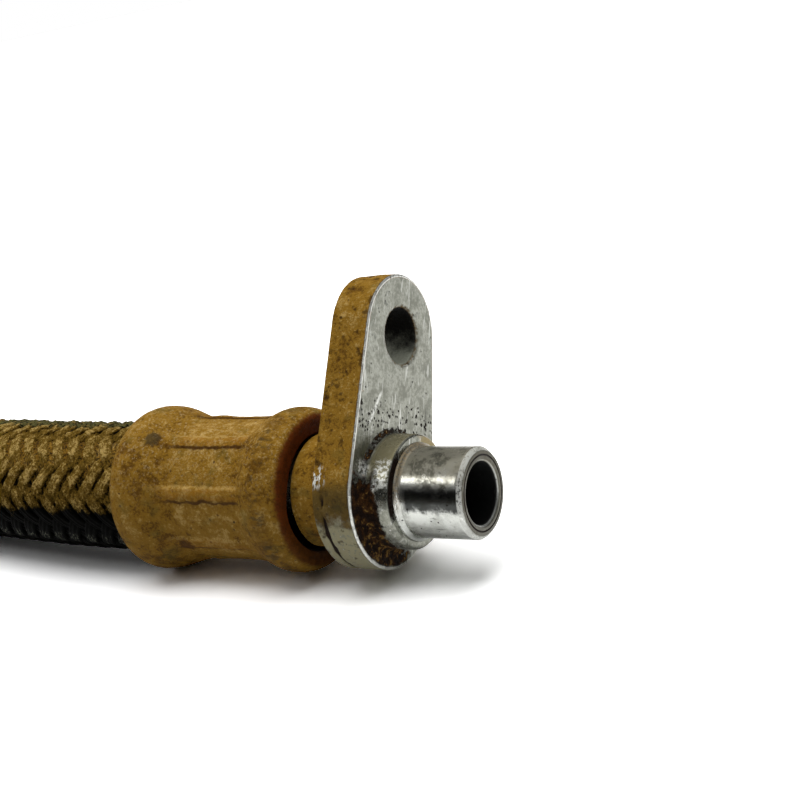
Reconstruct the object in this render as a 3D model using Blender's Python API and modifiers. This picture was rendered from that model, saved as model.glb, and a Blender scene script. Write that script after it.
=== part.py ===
"""Oil cooler hose with a crimped flange fitting on each end.

The hose lies on its side on a flat surface, z = 0. A fitting is made in a frame of
its own: local z runs along the bore towards the spigot's tip, zero at the front face
of the flange plate, and local x runs towards the bolt hole. The near fitting's bore
lies along world +X, and the far fitting lies beside it, where the hose comes back.
"""

import math

import bmesh
import bpy
import numpy as np
from mathutils import Matrix, Vector

MM = 0.001

# Driving dimensions of a fitting, in metres
FIT_GAP = 0.3 * MM  # clearance between pieces that touch

PLATE_THICKNESS = 5.5 * MM
BIG_END_RADIUS = 9.8 * MM  # round the bore
SMALL_END_RADIUS = 7.8 * MM  # round the bolt hole
PLATE_EDGE_ROUND = 0.6 * MM
BOLT_HOLE_DIAMETER = 7.0 * MM  # clearance hole of a 6 mm bolt
BOLT_HOLE_LIP = 0.35 * MM
BOLT_SPACING = 19.6 * MM  # bore to bolt hole

COLLAR_DIAMETER = 14.3 * MM
COLLAR_HEIGHT = 3.8 * MM
COLLAR_FILLET = 0.9 * MM
COLLAR_CHAMFER = 0.25 * MM
NECK_DIAMETER = 14.5 * MM
NECK_SHOWN = 5.2 * MM  # from the plate's back to the ferrule's front edge

SPIGOT_DIAMETER = 11.3 * MM
SPIGOT_LENGTH = 9.0 * MM  # from the collar's face to the tip
SPIGOT_CHAMFER = 0.3 * MM
BORE_DIAMETER = 7.6 * MM
BORE_LIP = 0.8 * MM
TAIL_DIAMETER = 9.8 * MM  # between the barbs
BARB_DIAMETER = 10.6 * MM
BARB_COUNT = 3
BARB_PITCH = 6.0 * MM
BARB_STEP = 0.6 * MM  # length of a barb's steep side
TAIL_END_MARGIN = 3.0 * MM  # the tail stops this far inside the ferrule

FERRULE_LENGTH = 27.6 * MM
FERRULE_WALL = 1.2 * MM
FRONT_EDGE_RADIUS = 9.0 * MM
FRONT_BULGE_RADIUS = 10.75 * MM
FRONT_BULGE_REACH = 3.1 * MM  # front edge to the bulge's crest
MOUTH_DEPTH = 1.7 * MM  # how deep the front face is dished
MOUTH_CURL = 0.55  # share of that depth already reached halfway in
WAIST_RADIUS = 9.35 * MM
WAIST_START = 7.5 * MM  # from the front edge
WAIST_LENGTH = 10.6 * MM
REAR_BULGE_RADIUS = 11.15 * MM
REAR_BULGE_REACH = 2.3 * MM  # rear end to the bulge's crest
REAR_BULGE_FULLNESS = 0.8  # below 1 the skin climbs to the rear bulge sooner
REAR_LIP_THICKNESS = 0.5 * MM
REAR_LIP_LENGTH = 1.7 * MM
JAW_COUNT = 8  # jaws of the crimping press
JAW_RIDGE_HEIGHT = 0.25 * MM  # metal left standing between two jaws
JAW_RIDGE_ANGLE = math.radians(11)  # at the ridge's foot
JAW_RIDGE_TOP = 0.6  # share of the foot's width that the ridge's top takes
JAW_RIDGE_RUNOUT = 0.25  # share of its length over which the ridge fades at each end
JAW_START = 10.0 * MM  # from the front edge
JAW_LENGTH = 15.0 * MM
FIRST_RIDGE_ANGLE = math.radians(102)  # from the bolt hole's side, about the bore

HOSE_DIAMETER = 17.8 * MM
HOSE_SQUEEZED_DIAMETER = 15.7 * MM  # under the ferrule's waist
HOSE_ENTRY = 3.4 * MM  # its full size reaches this far into the ferrule
HOSE_SAMPLE_STEP = 6.0 * MM

# How the fittings lie: the bolt hole's side leans back from straight up
NEAR_LEAN = math.radians(28)
FAR_LEAN = math.radians(-40)

# Hand-chosen route of the hose's middle, in millimetres: x from the near ferrule's
# rear end, y from the near bore, and how far it is lifted: 0 lies on the surface,
# 1 is level with the bore. The last point is the far ferrule's rear end.
HOSE_ROUTE = [
    (0, 0, 1.0),
    (-9, 0.25, 0.99),
    (-18, 0.95, 0.93),
    (-26, 2.0, 0.84),
    (-34, 3.3, 0.7),
    (-48, 5.6, 0.4),
    (-64, 6.9, 0.13),
    (-82, 5.8, 0.02),
    (-101, 0.6, 0.0),
    (-119, -9.2, 0.0),
    (-134, -23.3, 0.0),
    (-145, -40.8, 0.0),
    (-151.3, -60.6, 0.0),
    (-152.6, -81.4, 0.0),
    (-148.8, -102.0, 0.0),
    (-140, -121.0, 0.0),
    (-126.5, -137.2, 0.0),
    (-109.4, -149.6, 0.0),
    (-90, -157.6, 0.03),
    (-69.5, -161.6, 0.15),
    (-50, -163.0, 0.45),
    (-33, -163.2, 0.8),
    (-21, -163.2, 0.97),
    (-12, -163.2, 1.0),
]
FLOOR_CLEARANCE = 0.05 * MM

# Places that follow from the sizes, along a fitting's axis
SPIGOT_TIP = COLLAR_HEIGHT + SPIGOT_LENGTH
PLATE_BACK = -PLATE_THICKNESS
FERRULE_FRONT = PLATE_BACK - NECK_SHOWN
FERRULE_REAR = FERRULE_FRONT - FERRULE_LENGTH
MOUTH_FACE = FERRULE_FRONT - MOUTH_DEPTH
MOUTH_BACK = MOUTH_FACE - FERRULE_WALL
NECK_END = MOUTH_BACK
TAIL_END = FERRULE_REAR + TAIL_END_MARGIN
MOUTH_RADIUS = NECK_DIAMETER / 2 + FIT_GAP
REAR_LIP_RADIUS = HOSE_DIAMETER / 2 + FIT_GAP

# How finely the shapes are divided
TURNED_STEPS = 40
ARC_SEGMENTS = 9  # in a quarter of the plate's outline
FILLET_SEGMENTS = 3
EDGE_SEGMENTS = 2
CREST_RINGS = 4
SLOPE_RINGS = 5
HOSE_RING_DETAIL = 4  # the curve's bevel resolution
SPLINE_SAMPLES = 2000
WELD_DISTANCE = 0.01 * MM
FLAT_ANGLE = math.radians(1)
CORNER_ANGLE = math.radians(50)
SHARP_ANGLE = math.radians(40)


def clear_scene():
    """Removes what the scene held, so that the file builds the part alone."""
    for old in list(bpy.data.objects):
        bpy.data.objects.remove(old, do_unlink=True)


def collection(name):
    """A new collection under the scene."""
    made = bpy.data.collections.new(name)
    bpy.context.scene.collection.children.link(made)
    return made


def material(name, colour, roughness, metallic):
    """A plain surface in the piece's own colour."""
    made = bpy.data.materials.new(name)
    made.use_nodes = True
    shader = made.node_tree.nodes["Principled BSDF"]
    shader.inputs["Base Color"].default_value = (*colour, 1.0)
    shader.inputs["Roughness"].default_value = roughness
    shader.inputs["Metallic"].default_value = metallic
    return made


def add_object(name, data, into, fitting=None):
    """Links an object, on a fitting's empty where one is given."""
    made = bpy.data.objects.new(name, data)
    into.objects.link(made)
    made.parent = fitting
    return made


def hide_cutter(cutter):
    """Marks an object as a tool that cuts others and isn't part of the hose."""
    cutter.hide_render = True
    cutter.display_type = "WIRE"


def shade(target):
    """Smooth shading, with sharp edges kept where faces meet at a steep angle."""
    target.data.shade_smooth()
    target.data.set_sharp_from_angle(angle=SHARP_ANGLE)


def turned(name, profile, into, fitting, closed=False):
    """Turns a profile of (radius, height) points about the fitting's local z."""
    mesh = bpy.data.meshes.new(name)
    points = [(radius, 0.0, height) for radius, height in profile]
    edges = [(i, i + 1) for i in range(len(points) - 1)]
    if closed:
        edges.append((len(points) - 1, 0))
    mesh.from_pydata(points, edges, [])
    made = add_object(name, mesh, into, fitting)
    screw = made.modifiers.new("turn", "SCREW")
    screw.steps = screw.render_steps = TURNED_STEPS
    screw.use_merge_vertices = True
    screw.merge_threshold = WELD_DISTANCE
    screw.use_smooth_shade = True
    return made


def boolean(target, tool, operation):
    """Cuts or joins a tool into a target."""
    change = target.modifiers.new(tool.name, "BOOLEAN")
    change.operation = operation
    change.solver = "EXACT"
    change.object = tool


def ease(start, end, share):
    """A smooth step from start to end, level at both."""
    return start + (end - start) * (1 - math.cos(math.pi * share)) / 2


def quarter(flat, crest, share):
    """A quarter ellipse that climbs from flat (share 0) to crest (share 1)."""
    return flat + (crest - flat) * math.sqrt(max(0.0, 1 - (1 - share) ** 2))


def arc(centre, radius, start, end, segments):
    """Points of an arc in a plane, both ends included."""
    angles = np.linspace(start, end, segments + 1)
    return [
        (centre[0] + radius * math.cos(a), centre[1] + radius * math.sin(a))
        for a in angles
    ]


def mesh_from_curve(made, into, flat_caps=False):
    """Replaces a curve object with its mesh, caps welded on and, if flat, one face."""
    graph = bpy.context.evaluated_depsgraph_get()
    mesh = bpy.data.meshes.new_from_object(made.evaluated_get(graph))
    welded = bmesh.new()
    welded.from_mesh(mesh)
    bmesh.ops.remove_doubles(welded, verts=welded.verts, dist=WELD_DISTANCE)
    if flat_caps:
        bmesh.ops.dissolve_limit(
            welded,
            angle_limit=FLAT_ANGLE,
            verts=welded.verts,
            edges=welded.edges,
        )
    welded.to_mesh(mesh)
    welded.free()
    name, parent, place = made.name, made.parent, made.matrix_local.copy()
    bpy.data.objects.remove(made, do_unlink=True)
    solid = add_object(name, mesh, into, parent)
    solid.matrix_local = place
    return solid


def plate_outline():
    """The plate seen along the bore: two round ends with straight sides."""
    tilt = math.asin((BIG_END_RADIUS - SMALL_END_RADIUS) / BOLT_SPACING)
    side = math.pi / 2 - tilt
    big = arc((0, 0), BIG_END_RADIUS, side, 2 * math.pi - side, 2 * ARC_SEGMENTS)
    small = arc((BOLT_SPACING, 0), SMALL_END_RADIUS, -side, side, 2 * ARC_SEGMENTS)
    return big + small


def flange_plate(name, into, fitting):
    """The flat plate, an extruded outline with rounded edges."""
    shape = bpy.data.curves.new(name, "CURVE")
    shape.dimensions = "2D"
    shape.fill_mode = "BOTH"
    shape.extrude = PLATE_THICKNESS / 2
    outline = plate_outline()
    line = shape.splines.new("POLY")
    line.points.add(len(outline) - 1)
    for point, (x, y) in zip(line.points, outline):
        point.co = (x, y, 0, 1)
    line.use_cyclic_u = True
    plate = add_object(name, shape, into, fitting)
    plate.location.z = -PLATE_THICKNESS / 2
    bpy.context.view_layer.update()
    plate = mesh_from_curve(plate, into, flat_caps=True)
    rounding = plate.modifiers.new("rounded edges", "BEVEL")
    rounding.width = PLATE_EDGE_ROUND
    rounding.segments = EDGE_SEGMENTS
    rounding.limit_method = "ANGLE"
    rounding.angle_limit = CORNER_ANGLE
    return plate


def boss_profile():
    """Collar in front of the plate and neck behind it, one forging with it."""
    collar = COLLAR_DIAMETER / 2
    neck = NECK_DIAMETER / 2
    round_in = arc((0, COLLAR_FILLET), COLLAR_FILLET, 0, -math.pi / 2, FILLET_SEGMENTS)
    fillet = [(collar + COLLAR_FILLET - x, y) for x, y in round_in]
    return [
        (0, COLLAR_HEIGHT),
        (collar - COLLAR_CHAMFER, COLLAR_HEIGHT),
        (collar, COLLAR_HEIGHT - COLLAR_CHAMFER),
        *fillet,
        (collar + COLLAR_FILLET, -PLATE_THICKNESS / 4),
        (neck, -PLATE_THICKNESS / 2),
        (neck, NECK_END + COLLAR_CHAMFER),
        (neck - COLLAR_CHAMFER, NECK_END),
        (0, NECK_END),
    ]


def flange(name, into, cutters, fitting):
    """Forged flange: plate, collar and neck in one piece, drilled twice."""
    body = flange_plate(name, into, fitting)
    boss = turned(name + "_boss", boss_profile(), cutters, fitting)
    over = PLATE_THICKNESS
    bore_radius = SPIGOT_DIAMETER / 2 + FIT_GAP
    bore = turned(
        name + "_bore",
        [
            (0, COLLAR_HEIGHT + over),
            (bore_radius, COLLAR_HEIGHT + over),
            (bore_radius, NECK_END - over),
            (0, NECK_END - over),
        ],
        cutters,
        fitting,
    )
    radius = BOLT_HOLE_DIAMETER / 2
    hole = turned(
        name + "_bolt_hole",
        [
            (0, over),
            (radius + BOLT_HOLE_LIP + over, over),
            (radius, -BOLT_HOLE_LIP),
            (radius, PLATE_BACK - over),
            (0, PLATE_BACK - over),
        ],
        cutters,
        fitting,
    )
    hole.location.x = BOLT_SPACING
    for tool in (boss, bore, hole):
        hide_cutter(tool)
    boolean(body, boss, "UNION")
    boolean(body, bore, "DIFFERENCE")
    boolean(body, hole, "DIFFERENCE")
    shade(body)
    return body


def stem(name, into, fitting):
    """Turned tube: spigot in front, barbed tail inside the hose."""
    spigot = SPIGOT_DIAMETER / 2
    bore = BORE_DIAMETER / 2
    tail = TAIL_DIAMETER / 2
    barb = BARB_DIAMETER / 2
    outer = [
        (bore + BORE_LIP, SPIGOT_TIP),
        (spigot - SPIGOT_CHAMFER, SPIGOT_TIP),
        (spigot, SPIGOT_TIP - SPIGOT_CHAMFER),
        (spigot, NECK_END),
        (tail, NECK_END - (spigot - tail)),
    ]
    for i in range(BARB_COUNT, 0, -1):
        foot = TAIL_END + BARB_PITCH * (i - 1)
        crest = foot + BARB_PITCH / 2
        outer += [(tail, crest + BARB_STEP), (barb, crest), (tail, foot)]
    inner = [(bore, TAIL_END), (bore, SPIGOT_TIP - BORE_LIP / 2)]
    return turned(name, outer + inner, into, fitting, closed=True)


def ferrule_outer_radius(depth):
    """Radius of the ferrule's skin, depth measured back from its front edge."""
    waist_end = WAIST_START + WAIST_LENGTH
    rear_crest = FERRULE_LENGTH - REAR_BULGE_REACH
    rear_edge = REAR_LIP_RADIUS + REAR_LIP_THICKNESS
    if depth < FRONT_BULGE_REACH:
        share = depth / FRONT_BULGE_REACH
        return quarter(FRONT_EDGE_RADIUS, FRONT_BULGE_RADIUS, share)
    if depth < WAIST_START:
        share = (depth - FRONT_BULGE_REACH) / (WAIST_START - FRONT_BULGE_REACH)
        return ease(FRONT_BULGE_RADIUS, WAIST_RADIUS, share)
    if depth < waist_end:
        return WAIST_RADIUS
    if depth < rear_crest:
        share = (depth - waist_end) / (rear_crest - waist_end)
        return ease(WAIST_RADIUS, REAR_BULGE_RADIUS, share**REAR_BULGE_FULLNESS)
    share = (FERRULE_LENGTH - depth) / REAR_BULGE_REACH
    return quarter(rear_edge, REAR_BULGE_RADIUS, share)


def spread(start, end, count):
    """Evenly spaced values, both ends included."""
    return list(np.linspace(start, end, count))


def ferrule_stations():
    """Depths of the rings on the ferrule's skin, closer together where it turns."""
    waist_end = WAIST_START + WAIST_LENGTH
    rear_crest = FERRULE_LENGTH - REAR_BULGE_REACH
    turns = [1 - math.cos(a) for a in spread(0, math.pi / 2, CREST_RINGS)]
    front = [FRONT_BULGE_REACH * turn for turn in turns]
    rear = [FERRULE_LENGTH - REAR_BULGE_REACH * turn for turn in reversed(turns)]
    slope = spread(FRONT_BULGE_REACH, WAIST_START, SLOPE_RINGS)[1:]
    climb = spread(waist_end, rear_crest, SLOPE_RINGS)
    return front + slope + [(WAIST_START + waist_end) / 2] + climb + rear[1:]


def jaw_ridge(depth, angle):
    """Height of the ridge between two jaws, nothing elsewhere."""
    along = (depth - JAW_START) / JAW_LENGTH
    if not 0 < along < 1:
        return 0.0
    pitch = 2 * math.pi / JAW_COUNT
    off = (angle - FIRST_RIDGE_ANGLE + pitch / 2) % pitch - pitch / 2
    across = (1 - abs(off) / (JAW_RIDGE_ANGLE / 2)) / (1 - JAW_RIDGE_TOP)
    fade = min(along, 1 - along) / JAW_RIDGE_RUNOUT
    return JAW_RIDGE_HEIGHT * max(0.0, min(1.0, across)) * min(1.0, fade)


def ferrule_angles():
    """Angles of a ring's points: foot and top of each ridge, and the land between."""
    pitch = 2 * math.pi / JAW_COUNT
    foot = JAW_RIDGE_ANGLE / 2
    top = JAW_RIDGE_TOP * foot
    offsets = (-foot, -top, top, foot, pitch / 2)
    return [
        FIRST_RIDGE_ANGLE + pitch * jaw + offset
        for jaw in range(JAW_COUNT)
        for offset in offsets
    ]


def ferrule_rings():
    """Rings of the crimped sleeve, down its skin and back up its inner wall."""
    angles = ferrule_angles()

    def ring(radius, height):
        return [(radius * math.cos(a), radius * math.sin(a), height) for a in angles]

    def skin_ring(depth):
        radius = ferrule_outer_radius(depth)
        return [
            (
                (radius + jaw_ridge(depth, a)) * math.cos(a),
                (radius + jaw_ridge(depth, a)) * math.sin(a),
                FERRULE_FRONT - depth,
            )
            for a in angles
        ]

    rings = [ring(MOUTH_RADIUS, MOUTH_FACE)]
    halfway = (MOUTH_RADIUS + FRONT_EDGE_RADIUS) / 2
    rings.append(ring(halfway, FERRULE_FRONT - MOUTH_CURL * MOUTH_DEPTH))
    rings += [skin_ring(depth) for depth in ferrule_stations()]
    rings.append(ring(REAR_LIP_RADIUS, FERRULE_REAR))
    waist_end = WAIST_START + WAIST_LENGTH
    rear_crest = FERRULE_LENGTH - REAR_BULGE_REACH
    inner_depths = [
        FERRULE_LENGTH - REAR_LIP_LENGTH,
        rear_crest - REAR_BULGE_REACH,
        waist_end + REAR_BULGE_REACH,
        waist_end - FERRULE_WALL,
        WAIST_START + FERRULE_WALL,
        (FRONT_BULGE_REACH + WAIST_START) / 2,
    ]
    for depth in inner_depths:
        radius = ferrule_outer_radius(depth) - FERRULE_WALL
        rings.append(ring(radius, FERRULE_FRONT - depth))
    front_pocket = FRONT_BULGE_RADIUS - FERRULE_WALL - FIT_GAP
    rings.append(ring(front_pocket, MOUTH_BACK))
    rings.append(ring(MOUTH_RADIUS, MOUTH_BACK))
    return rings


def ferrule(name, into, fitting):
    """Crimped sleeve: round at its ends, with eight jaw marks along its waist."""
    loft = bmesh.new()
    rings = [[loft.verts.new(point) for point in ring] for ring in ferrule_rings()]
    for upper, lower in zip(rings, rings[1:] + rings[:1]):
        for i in range(len(upper)):
            j = (i + 1) % len(upper)
            loft.faces.new((upper[i], lower[i], lower[j], upper[j]))
    bmesh.ops.recalc_face_normals(loft, faces=loft.faces)
    mesh = bpy.data.meshes.new(name)
    loft.to_mesh(mesh)
    loft.free()
    made = add_object(name, mesh, into, fitting)
    shade(made)
    return made


def smooth_curve(points, step):
    """Points at even steps along a natural cubic spline through the given points."""
    points = np.array(points, float)
    span = np.linalg.norm(np.diff(points, axis=0), axis=1)
    knots = np.concatenate([[0.0], np.cumsum(span)])
    count = len(points)
    rows = np.zeros((count, count))
    right = np.zeros((count, 3))
    rows[0, 0] = rows[-1, -1] = 1.0
    for i in range(1, count - 1):
        rows[i, i - 1 : i + 2] = (span[i - 1], 2 * (span[i - 1] + span[i]), span[i])
        slope_after = (points[i + 1] - points[i]) / span[i]
        slope_before = (points[i] - points[i - 1]) / span[i - 1]
        right[i] = 6 * (slope_after - slope_before)
    bend = np.linalg.solve(rows, right)
    fine = np.linspace(0.0, knots[-1], SPLINE_SAMPLES)
    part = np.clip(np.searchsorted(knots, fine, side="right") - 1, 0, count - 2)
    length = span[part][:, None]
    after = (fine - knots[part])[:, None]
    before = length - after
    curve = (
        bend[part] * before**3 / (6 * length)
        + bend[part + 1] * after**3 / (6 * length)
        + (points[part] / length - bend[part] * length / 6) * before
        + (points[part + 1] / length - bend[part + 1] * length / 6) * after
    )
    run = np.concatenate(
        [[0.0], np.cumsum(np.linalg.norm(np.diff(curve, axis=0), axis=1))]
    )
    even = np.linspace(0.0, run[-1], max(2, round(run[-1] / step)) + 1)
    return np.stack([np.interp(even, run, curve[:, k]) for k in range(3)], axis=1)


def near_face():
    """World place of the near fitting, so that its box stands on the origin."""
    back = BOLT_SPACING * math.sin(NEAR_LEAN) + SMALL_END_RADIUS
    return Vector(
        (
            -(SPIGOT_TIP + FERRULE_REAR) / 2,
            -(max(back, REAR_BULGE_RADIUS) - REAR_BULGE_RADIUS) / 2,
            REAR_BULGE_RADIUS,
        )
    )


def route_in_world():
    """The hose's route with its ends on the two bores."""
    start = near_face() + Vector((FERRULE_REAR, 0, 0))
    lying = HOSE_DIAMETER / 2 + FLOOR_CLEARANCE
    return [
        (
            start.x + x * MM,
            start.y + y * MM,
            lying + (start.z - lying) * lift,
        )
        for x, y, lift in HOSE_ROUTE
    ]


def far_face():
    """World place of the far fitting, whose ferrule takes the route's last point."""
    return Vector(route_in_world()[-1]) - Vector((FERRULE_REAR, 0, 0))


def fitting_empty(name, face, lean, into):
    """Empty that carries a fitting: local z along world X, local x leaning back."""
    empty = add_object(name, None, into)
    up = Vector((0, math.sin(lean), math.cos(lean)))
    along = Vector((1, 0, 0))
    turn = Matrix((up, along.cross(up), along)).transposed().to_4x4()
    empty.matrix_world = Matrix.Translation(face) @ turn
    return empty


def squeezed_end(name, into, fitting):
    """The hose's end under the ferrule, pressed thin where the jaws closed."""
    free = HOSE_DIAMETER / 2
    thin = HOSE_SQUEEZED_DIAMETER / 2
    front = MOUTH_BACK - FIT_GAP
    waist_front = FERRULE_FRONT - WAIST_START
    waist_rear = waist_front - WAIST_LENGTH
    half = (free + thin) / 2
    profile = [
        (0, front),
        (half, front),
        (thin, waist_front),
        (thin, waist_rear + FERRULE_WALL),
        (half, FERRULE_REAR + REAR_BULGE_REACH),
        (0, FERRULE_REAR + REAR_BULGE_REACH),
    ]
    return turned(name, profile, into, fitting)


def tail_pocket(name, into, fitting):
    """The room that the stem's tail fills inside the hose."""
    radius = BARB_DIAMETER / 2 + FIT_GAP
    top = NECK_END + FERRULE_WALL
    bottom = TAIL_END - FIT_GAP
    profile = [(0, top), (radius, top), (radius, bottom), (0, bottom)]
    return turned(name, profile, into, fitting)


def hose(name, into, cutters, fittings):
    """The hose from end to end, its ends pressed into the two ferrules."""
    entry = Vector((HOSE_ENTRY, 0, 0))
    route = [Vector(point) for point in route_in_world()]
    route = [route[0] + entry] + route + [route[-1] + entry]
    shape = bpy.data.curves.new(name, "CURVE")
    shape.dimensions = "3D"
    shape.bevel_depth = HOSE_DIAMETER / 2
    shape.bevel_resolution = HOSE_RING_DETAIL
    shape.use_fill_caps = True
    points = smooth_curve(route, HOSE_SAMPLE_STEP)
    line = shape.splines.new("POLY")
    line.points.add(len(points) - 1)
    for point, place in zip(line.points, points):
        point.co = (*place, 1)
    made = mesh_from_curve(add_object(name, shape, into), into)
    for end, fitting in fittings.items():
        pressed = squeezed_end(f"{end}_hose_end", cutters, fitting)
        pocket = tail_pocket(f"{end}_tail_pocket", cutters, fitting)
        hide_cutter(pressed)
        hide_cutter(pocket)
        boolean(made, pressed, "UNION")
        boolean(made, pocket, "DIFFERENCE")
    shade(made)
    return made


def main():
    clear_scene()
    part = collection("oil_cooler_hose")
    cutters = collection("oil_cooler_hose_cutters")
    bare_steel = material("bare_steel", (0.50, 0.50, 0.49), 0.32, 1.0)
    bright_steel = material("bright_steel", (0.62, 0.62, 0.62), 0.2, 1.0)
    muddy_steel = material("muddy_steel", (0.34, 0.22, 0.08), 0.75, 0.2)
    braid = material("muddy_braid", (0.17, 0.12, 0.06), 0.85, 0.0)
    fittings = {
        "near": fitting_empty("near_fitting", near_face(), NEAR_LEAN, part),
        "far": fitting_empty("far_fitting", far_face(), FAR_LEAN, part),
    }
    for end, fitting in fittings.items():
        plate = flange(f"{end}_flange", part, cutters, fitting)
        plate.data.materials.append(bare_steel)
        tube = stem(f"{end}_stem", part, fitting)
        tube.data.materials.append(bright_steel)
        sleeve = ferrule(f"{end}_ferrule", part, fitting)
        sleeve.data.materials.append(muddy_steel)
    line = hose("hose", part, cutters, fittings)
    line.data.materials.append(braid)


main()
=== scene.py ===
# %% [markdown]
# # Oil cooler hose
# A rubber hose under a textile braid, with a crimped sleeve and a forged flange on each
# end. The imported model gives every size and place. This file gives the surfaces: the
# woven braid, the press marks on the sleeve, the worn steel, the mud and the rust.

# %% The frame
import math

import bmesh
import bpy
import numpy as np
from mathutils import Matrix, Vector


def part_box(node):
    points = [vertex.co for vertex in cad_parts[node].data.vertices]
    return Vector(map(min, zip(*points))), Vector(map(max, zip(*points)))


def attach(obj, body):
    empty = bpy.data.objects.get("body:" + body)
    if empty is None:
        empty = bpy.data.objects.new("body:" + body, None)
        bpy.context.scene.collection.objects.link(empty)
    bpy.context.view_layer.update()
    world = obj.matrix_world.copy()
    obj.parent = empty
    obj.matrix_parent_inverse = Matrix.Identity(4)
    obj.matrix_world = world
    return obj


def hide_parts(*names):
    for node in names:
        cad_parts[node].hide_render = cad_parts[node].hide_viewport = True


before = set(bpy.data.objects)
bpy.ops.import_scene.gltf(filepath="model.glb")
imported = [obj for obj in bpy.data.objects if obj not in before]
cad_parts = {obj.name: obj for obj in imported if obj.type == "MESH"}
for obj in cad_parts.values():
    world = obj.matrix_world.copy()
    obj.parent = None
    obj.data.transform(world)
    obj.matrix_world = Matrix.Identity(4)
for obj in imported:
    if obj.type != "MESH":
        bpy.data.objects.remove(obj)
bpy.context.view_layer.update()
print("pieces in the frame:", sorted(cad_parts))

# %% [markdown]
# ## A fitting's own directions
# Each fitting is easiest to describe in a frame of its own: x towards the bolt hole, y to
# its side and z along the bore, zero at the front face of the plate. Two numbers place it:
# where its bore is, which the frame tells, and how far the bolt hole leans back.

# %% Directions of a fitting
MM = 0.001
SPIGOT_TIP = 12.8 * MM  # from the plate's front face
LEAN = {"near": math.radians(28), "far": math.radians(-40)}


class Fitting:
    """Turns a fitting's own coordinates into the row frame."""

    def __init__(self, end):
        low, high = (np.array(corner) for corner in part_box(f"{end}_stem"))
        self.end = end
        self.face = np.array([high[0] - SPIGOT_TIP, *(low[1:] + high[1:]) / 2])
        self.along = np.array([1.0, 0.0, 0.0])
        self.up = np.array([0.0, math.sin(LEAN[end]), math.cos(LEAN[end])])
        self.side = np.cross(self.along, self.up)

    def place(self, local):
        """face + x * up + y * side + z * along, for points of any grid shape."""
        turned_axes = np.stack([self.up, self.side, self.along])
        return self.face + np.asarray(local) @ turned_axes


fittings = [Fitting("near"), Fitting("far")]
print("faces of the two plates, in mm:", [(f.face / MM).round(2) for f in fittings])

# %% [markdown]
# ## The camera
# The photograph was taken close up, from a little above and in front of the spigot, with
# the camera tilted. The plate, its hole and the spigot's end fix the view: three angles,
# one distance and the pixel where the bore meets the plate's face.

# %% Camera
PICTURE = 800  # pixels a side
FOCAL_LENGTH = 1446.5  # in pixels
SENSOR = 36.0  # width in mm
VIEW_DISTANCE = 180.185 * MM
NEAREST, FARTHEST = 0.01, 60.0  # what the camera sees, in metres
FACE_PIXEL = (393.2, 491.1)
YAW, PITCH, ROLL = (math.radians(angle) for angle in (32.57, -6.501, 3.107))


def add_camera(fitting):
    """Seen from the camera, the bore points right and near by YAW, and the bolt hole up.
    PITCH and ROLL then turn that view about the picture's x and about the line of sight."""
    cosine, sine = math.cos(YAW), math.sin(YAW)
    axes = Matrix(((cosine, sine, 0), (0, 0, -1), (-sine, cosine, 0)))
    turn = np.array(Matrix.Rotation(ROLL, 3, "Z") @ Matrix.Rotation(PITCH, 3, "X") @ axes)
    offset = [(pixel - PICTURE / 2) / FOCAL_LENGTH for pixel in FACE_PIXEL]
    sight = np.array([*offset, 1.0]) * VIEW_DISTANCE
    own = np.stack([fitting.along, -fitting.side, fitting.up])
    right, down, ahead = turn @ own
    data = bpy.data.cameras.new("camera")
    data.sensor_width = SENSOR
    data.lens = FOCAL_LENGTH * SENSOR / PICTURE
    data.clip_start, data.clip_end = NEAREST, FARTHEST
    camera = bpy.data.objects.new("camera", data)
    place = Matrix(np.stack([right, -down, -ahead], axis=1).tolist()).to_4x4()
    place.translation = fitting.face - (turn @ own).T @ sight
    camera.matrix_world = place
    bpy.context.scene.collection.objects.link(camera)
    bpy.context.scene.camera = camera
    return camera


camera = add_camera(fittings[0])
print("lens", round(camera.data.lens, 2), "mm at", camera.location)

# %% [markdown]
# ## The hose's route
# The hose leaves the near sleeve level, sinks to the surface within a few diameters and
# turns back beside itself, where the photograph doesn't reach. A natural spline through
# listed points has no kinks, because its bend changes evenly from point to point.

# %% Route
HOSE_DIAMETER = 17.8 * MM
HOSE_ENTRY = 3.4 * MM  # what each sleeve hides of the hose's full size
FLOOR_CLEARANCE = 0.05 * MM
REAR_END = -38.3 * MM  # the sleeve's rear end, along the bore
LINE_POINTS = 4000

# x from the near sleeve's rear end, y from the near bore, and the lift: 0 lies on the
# surface and 1 is level with the bore
ROUTE = [
    (0, 0, 1.0),
    (-0.009, 0.00025, 0.99),
    (-0.018, 0.00095, 0.93),
    (-0.026, 0.002, 0.84),
    (-0.034, 0.0033, 0.7),
    (-0.048, 0.0056, 0.4),
    (-0.064, 0.0069, 0.13),
    (-0.082, 0.0058, 0.02),
    (-0.101, 0.0006, 0.0),
    (-0.119, -0.0092, 0.0),
    (-0.134, -0.0233, 0.0),
    (-0.145, -0.0408, 0.0),
    (-0.1513, -0.0606, 0.0),
    (-0.1526, -0.0814, 0.0),
    (-0.1488, -0.102, 0.0),
    (-0.14, -0.121, 0.0),
    (-0.1265, -0.1372, 0.0),
    (-0.1094, -0.1496, 0.0),
    (-0.09, -0.1576, 0.03),
    (-0.0695, -0.1616, 0.15),
    (-0.05, -0.163, 0.45),
    (-0.033, -0.1632, 0.8),
    (-0.021, -0.1632, 0.97),
    (-0.012, -0.1632, 1.0),
]


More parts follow.
